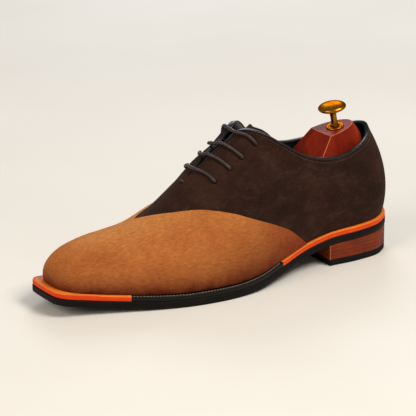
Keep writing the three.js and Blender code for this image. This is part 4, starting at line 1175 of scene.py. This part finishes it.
def welt_strip(name, first, last, section, materials, count):
    """A strip of the welt between two places on its run. section rows are (mm in from the edge, rise)."""
    outer, inward, width = welt_band(np.linspace(first, last, count))
    rings = []
    for depth, rise in section:
        place = outer + inward * (width if depth is None else np.minimum(width, depth))[:, None]
        z = sole_z(place[:, 0]) + OUTSOLE + rise
        rings.append(np.column_stack([place, z]))
    rings = np.stack(rings, 1)
    return face_outward(loft_object(name, rings, materials))


def groove_stitches(first, last):
    """The stitches that lie in the welt's groove between two places on its run."""
    outer, inward, _ = welt_band(np.linspace(first + 0.002, last - 0.002, 700))
    place = outer + inward * GROOVE_DEPTH
    path = np.column_stack([place, sole_z(place[:, 0]) + OUTSOLE + GROOVE_RISE])
    return stitch_row(path, np.tile([0.0, 0.0, 1.0], (len(path), 1)), 2.5, 1.8, 0.3, 0.1)


def build_welt():
    grooved = [
        (None, GAP), (None, WELT), (2.3, WELT), (1.9, WELT - 0.02), (1.7, WELT - 0.2), (1.4, WELT - 0.3),
        (1.1, WELT - 0.2), (0.9, WELT - 0.02), (0.6, WELT), (0.25, WELT - 0.12), (0.06, WELT - 0.36),
        (0, WELT - 0.8), (0, GAP + 0.5), (0.12, GAP + 0.15), (0.4, GAP),
    ]
    rand = [
        (None, GAP), (None, WELT), (1.6, WELT), (1.2, WELT - 0.03), (1.0, WELT - 0.25), (0.8, WELT - 0.03),
        (0.5, WELT - 0.06), (0.15, WELT - 0.3), (0, WELT - 0.75), (0, 2.15), (0.28, 1.95), (0, 1.75),
        (0, GAP + 0.5), (0.12, GAP + 0.15), (0.4, GAP),
    ]
    # the second orange material is a lighter copy painted as a highlight on the welt's top faces
    black, orange = [WELT_BLACK], [LOOKS["leather_orange"], ORANGE_LIT_TOP]
    for name, node, first, last, section, looks, slot_name, count in (
        ("welt_toe_leather", "welt_toe", -WELT_TOE_END, WELT_TOE_END, grooved, orange, "leather_orange", 170),
        ("welt_outer_leather", "welt_outer_side", WELT_TOE_END, RAND_START, grooved, black,
         "leather_black", 140),
        ("welt_inner_leather", "welt_inner_side", 2 - RAND_START, 2 - WELT_TOE_END, grooved, black,
         "leather_black", 140),
        ("heel_rand_leather", "heel_rand", RAND_START, 2 - RAND_START, rand, orange, "leather_orange", 220),
    ):
        strip = welt_strip(name, first + WELT_END_GAP, last - WELT_END_GAP, section, looks, count)
        if looks is orange:
            paint_lit_faces(strip)
        finish_piece(strip, "shoe", slot_name, node)
    pale = groove_stitches(WELT_TOE_END, RAND_START) + groove_stitches(2 - RAND_START, 2 - WELT_TOE_END)
    finish_piece(stitches_object("welt_side_stitching", pale, THREAD_PALE), "shoe", "cord_brown")
    toe = groove_stitches(-WELT_TOE_END, WELT_TOE_END)
    finish_piece(stitches_object("welt_toe_stitching", toe, THREAD_ORANGE), "shoe", "cord_brown")


def heel_outline(inset):
    """Plan outline of the heel from its outer breast corner round the back, with a slightly hollow breast."""
    front = BREAST_X + inset
    corners = []
    for inner_side in (False, True):
        low, high = 0.7, 0.9
        for _ in range(40):
            middle = (low + high) / 2
            t = np.array(2 - middle if inner_side else middle)
            x = plan_point(welt_run, t, HEEL_INSET + inset)[0]
            low, high = (middle, high) if x < front else (low, middle)
        corners.append(low)
    t = np.linspace(corners[0], 2 - corners[1], 130)
    arc = plan_point(welt_run, t, HEEL_INSET + inset)
    across = np.linspace(0, 1, 16)[1:-1, None]
    breast = arc[-1] + (arc[0] - arc[-1]) * across
    breast[:, 0] += 0.7 * (1 - (2 * across[:, 0] - 1) ** 2)
    return np.vstack([arc, breast])


def heel_slab(name, low, high, round_low, round_high, materials):
    """One layer of the heel with softly rounded edges."""
    rings = []
    for level, rounding, turn in ((low, round_low, 1), (high, round_high, -1)):
        steps = ((1.0, 0.0), (0.35, 0.12), (0.0, 0.6))
        for inset, rise in steps[::turn]:
            plan = heel_outline(inset * rounding)
            rings.append(np.column_stack([plan, level(plan[:, 0]) + turn * rise * rounding]))
    slab = face_outward(loft_object(name, np.array(rings), materials))
    # the bevel faces take the last material: for the leather lifts that is a lighter copy painted as an edge
    # highlight
    return bevel(slab, 0.5, 2, 60, len(materials) - 1)


def level(z):
    return lambda x: np.full_like(x, z)


def build_heel():
    stack = [LOOKS["leather_stack"], STACK_EDGE_HIGHLIGHT]
    rubber = [LOOKS["rubber_black"]]
    top_piece = heel_slab("top_piece_rubber", level(0), level(TOP_PIECE + SLAB_REACH), 1.0, 0.5, rubber)
    nails = [(243, -22), (243, 18), (268, -24), (268, 21), (292, -1)]
    ends = [(np.array([x, y, -2.0]), np.array([x, y, 12.0])) for x, y in nails]
    punch(top_piece, cylinders(ends, (0, -1, 0), 1.2, 16))
    finish_piece(top_piece, "shoe", "rubber_black", "top_piece")
    for k in range(3):
        low = TOP_PIECE + GAP + k * (LIFT + GAP)
        high = low + LIFT + SLAB_REACH
        slab = heel_slab(f"heel_lift_leather_{k + 1}", level(low - SLAB_REACH), level(high), 0.3, 0.3, stack)
        finish_piece(slab, "shoe", "leather_stack", f"heel_lift_{k + 1}")
    low = TOP_PIECE + GAP + 3 * (LIFT + GAP)

    def under_sole(x):
        return sole_z(x) - 0.08

    wedge = heel_slab("heel_wedge_leather", level(low - SLAB_REACH), under_sole, 0.3, 0.3, stack)
    finish_piece(wedge, "shoe", "leather_stack", "heel_wedge_lift")


# ---- Shoe tree ----

ARM = np.array([math.cos(ARM_ANGLE), 0, math.sin(ARM_ANGLE)])
TUBE_RADIUS, TUBE_BORE, TUBE_LENGTH = 4.4, 3.3, 62
ROD_RADIUS, ROD_START, ROD_END = 3.22, 36, 126
ROD_SPRING_START = 7
TOE_SPRING = (75, 0, 36)
TOE_SPRING_LENGTH = 10.4
SPRING_WIRE = 0.45


def build_arm():
    steel = [LOOKS["steel"]]
    tube_profile = [
        (0, -5), (TUBE_RADIUS - 0.4, -5), (TUBE_RADIUS, -4.6), (TUBE_RADIUS, TUBE_LENGTH - 0.5),
        (TUBE_RADIUS - 0.35, TUBE_LENGTH), (TUBE_BORE + 0.1, TUBE_LENGTH), (TUBE_BORE, TUBE_LENGTH - 0.2),
        (TUBE_BORE, 6), (0, 6),
    ]
    tube = lathe_object("tree_tube_steel", tube_profile, HINGE, ARM, (0, 1, 0), steel, 48)
    finish_piece(tube, "tree_arm", "steel", "tree_tube")
    rod_profile = [
        (0, ROD_START), (ROD_RADIUS - 0.4, ROD_START), (ROD_RADIUS, ROD_START + 0.4), (ROD_RADIUS, ROD_END),
        (0, ROD_END),
    ]
    rod = lathe_object("tree_rod_steel", rod_profile, HINGE, ARM, (0, 1, 0), steel, 48)
    finish_piece(rod, "tree_heel", "steel", "tree_rod")


def coil_object(name, start, axis, side, length, radius, turns):
    """A coil spring of round wire, wound along an axis from its start."""
    angle = np.linspace(0, 2 * math.pi * turns, turns * 36 + 1)[:, None]
    start, axis, side = (np.array(vector, float) for vector in (start, axis, side))
    path = start + axis * (length * angle / angle[-1])
    path += radius * (np.cos(angle) * side + np.sin(angle) * np.cross(axis, side))
    rings = tube_rings(path, SPRING_WIRE, 12)
    return face_outward(loft_object(name, rings, [LOOKS["steel"]], smooth_angle=80))


def build_springs():
    """Builds the rod spring and the toe spring as fixed coils, each with a mesh of its own."""
    start = np.array(HINGE) + ARM * ROD_SPRING_START
    length = ROD_START - 1 - ROD_SPRING_START
    spring = coil_object("tree_rod_spring_coil", start, ARM, (0, 1, 0), length, 2.4, 7)
    finish_piece(spring, "tree_arm", "steel", "tree_rod_spring")
    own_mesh(spring)
    half = TOE_SPRING_LENGTH / 2
    place = np.array(TOE_SPRING)
    near = place - [0, half, 0]
    spring = coil_object("tree_toe_spring_coil", near, (0, 1, 0), (1, 0, 0), TOE_SPRING_LENGTH, 3.4, 3)
    finish_piece(spring, "shoe", "steel", "tree_toe_spring")
    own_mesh(spring)


def block_ring(front_x, front_half, wide_x, back_x, half):
    """Half outline of the heel block: a straight front, a full side and a round back, as (x, half width)."""
    arc = np.linspace(0, math.pi / 2, 29)
    side = np.column_stack([wide_x + (back_x - wide_x) * np.sin(arc), half * np.cos(arc)])
    front = np.column_stack([np.full(8, front_x), np.linspace(0, front_half, 8)])
    run = np.linspace(0, 1, 6)[1:-1, None]
    link = front[-1] + (side[0] - front[-1]) * run
    return np.vstack([front, link, side])


def build_heel_block():
    base_z = float(deck_z(np.array(250.0))) + INSOLE + SOCK_LINER + 5 * GAP
    lower = [
        (block_ring(230, 15, 246, 283, HEEL_BLOCK_HALF - 2), base_z),
        (block_ring(230.5, 17.5, 243, 287, HEEL_BLOCK_HALF), 52),
        (block_ring(231, 19, 241, 286.5, HEEL_BLOCK_HALF), 68),
        (block_ring(232.5, 20.2, 239, 284, HEEL_BLOCK_HALF), 79),
    ]
    sides = np.stack([np.column_stack([ring, np.full(len(ring), z)]) for ring, z in lower])
    body = np.stack([through(sides[:, k], 8) for k in range(sides.shape[1])], 1)
    body[0, :, 2] = deck_z(body[0, :, 0]) + INSOLE + SOCK_LINER + 5 * GAP
    plateau = block_ring(247, 13.5, 249, 275, 13.5)
    tilted = KNOB_SEAT[2] + (plateau[:, 0] - KNOB_SEAT[0]) * math.tan(PLATEAU_TILT)
    plateau = np.column_stack([plateau, tilted])
    rows = list(body)
    for s in (0.2, 0.4, 0.6, 0.8):
        row = body[-1] + (plateau - body[-1]) * s
        fullness = 4 * math.sin(math.pi * s) * smooth(245, 272, row[:, 0])
        row[:, 0] += fullness
        rows.append(row)
    rows.append(plateau)
    rows = np.array(rows)
    outer = rows * [1, -1, 1]
    inner = rows[:, ::-1][:, 1:-1]
    rings = np.concatenate([outer, inner], 1)
    block = loft_object("tree_heel_block_wood", rings, [LOOKS["wood_mahogany"], WOOD_EDGE_HIGHLIGHT], smooth_angle=28)
    face_outward(block)
    # the bevel faces take the second material, the painted edge highlight
    bevel(block, 0.6, 3, 24, 1)
    finish_piece(block, "tree_heel", "wood_mahogany", "tree_heel_block")


def build_knob():
    axis = np.array([-math.sin(PLATEAU_TILT), 0, math.cos(PLATEAU_TILT)])
    seat = np.array(KNOB_SEAT)
    outline = [
        (3.2, GAP), (3.25, 1.6), (3.0, 2.6), (2.6, 3.9), (2.5, 5.2), (2.5, 9.5), (2.65, 11.4), (3.2, 12.7),
        (4.6, 13.7), (6.8, 14.35), (9.2, 14.95), (10.4, 15.6), (10.9, 16.4), (10.85, 17.2), (10.2, 18.0),
        (8.9, 18.75), (6.6, 19.5), (4.2, 19.95), (2.0, 20.15),
    ]
    curve = through(np.array([(r, h, 0.0) for r, h in outline]), 4)[:, :2]
    profile = [(0, GAP), *[tuple(row) for row in curve], (0, 20.2)]
    knob = lathe_object("tree_knob_brass", profile, seat, axis, (0, 1, 0), [LOOKS["brass"]], 72, 60)
    finish_piece(knob, "tree_heel", "brass", "tree_knob")
    ring_profile = [
        (3.6, GAP), (6.8, GAP), (7.0, 0.5), (6.95, 0.8), (6.6, 1.08), (6.1, 1.2), (5.7, 1.05), (5.4, 1.05),
        (5.1, 1.25), (4.4, 1.3), (3.75, 1.2), (3.6, 1.0),
    ]
    ring = lathe_object("tree_knob_ring_brass", ring_profile, seat, axis, (0, 1, 0), [LOOKS["brass"]], 72, 50)
    finish_piece(ring, "tree_heel", "brass", "tree_knob_ring")


build_vamp()
build_quarters()
build_linings()
build_binding()
build_edge_stitching()
build_tongue()
build_bar_tack()
build_lace()
build_outsole()
build_insoles()
build_welt()
build_heel()
build_arm()
build_springs()
build_heel_block()
build_knob()

# CAD nodes that keep their shape
slot_of = {row["node"]: row["material_slot"] for row in frame["record"]["subparts"]}
for node_name, node_object in frame["nodes"].items():
    for material_slot in node_object.material_slots:
        material_slot.material = LOOKS[slot_of[node_name]]

# ---- Floor, light and camera ----


def build_floor():
    mesh = bpy.data.meshes.new("floor")
    mesh.from_pydata([(-6, -6, 0), (6, -6, 0), (6, 6, 0), (-6, 6, 0)], [], [(0, 1, 2, 3)])
    look = Look("floor_pale", specular_ior_level=0.2)
    tone = look.noise(3, 3, 0.5)
    base = look.ramp(tone, (0.3, srgb(226, 221, 212)), (0.7, srgb(232, 228, 220)))
    mesh.materials.append(look.finish(base, 0.7))
    floor = bpy.data.objects.new("floor", mesh)
    bpy.context.scene.collection.objects.link(floor)


def add_area(name, place, aim, size, watts, colour):
    data = bpy.data.lights.new(name, "AREA")
    data.shape = "SQUARE"
    data.size = size
    data.energy = watts
    data.color = colour
    light = bpy.data.objects.new(name, data)
    light.location = place
    light.rotation_euler = (Vector(aim) - Vector(place)).to_track_quat("-Z", "Y").to_euler()
    bpy.context.scene.collection.objects.link(light)


def build_lights():
    world = bpy.data.worlds.new("world")
    bpy.context.scene.world = world
    world.use_nodes = True
    background = world.node_tree.nodes["Background"].inputs
    background["Color"].default_value = (1.0, 0.97, 0.93, 1)
    background["Strength"].default_value = 0.28
    add_area("key", (0.45, -0.95, 1.5), (0, 0, 0.05), 0.8, 24, (1.0, 0.96, 0.9))
    add_area("side", (-1.4, -0.3, 0.9), (0, 0, 0.05), 0.8, 12, (1.0, 0.93, 0.84))
    add_area("back", (0.8, 1.3, 1.0), (0, 0, 0.06), 0.7, 10, (0.86, 0.92, 1.0))


def build_camera():
    """A long lens on the outer side, ahead of the shoe and above it. Distance and target are in mm."""
    azimuth, elevation = math.radians(-32.64), math.radians(18.51)
    distance, lens = 1855.9, 209.81
    target = np.array([153.68, 16.15, 47.73])
    level_part = math.cos(elevation)
    back = Vector((math.sin(azimuth) * level_part, -math.cos(azimuth) * level_part, math.sin(elevation)))
    data = bpy.data.cameras.new("camera")
    data.sensor_width = 36
    data.lens = lens
    data.clip_end = 50
    camera = bpy.data.objects.new("camera", data)
    camera.location = Vector((target + SHIFT) * MM) + back * (distance * MM)
    camera.rotation_euler = back.to_track_quat("Z", "Y").to_euler()
    bpy.context.scene.collection.objects.link(camera)
    bpy.context.scene.camera = camera


build_floor()
build_lights()
build_camera()
bpy.context.scene.view_settings.view_transform = "Standard"
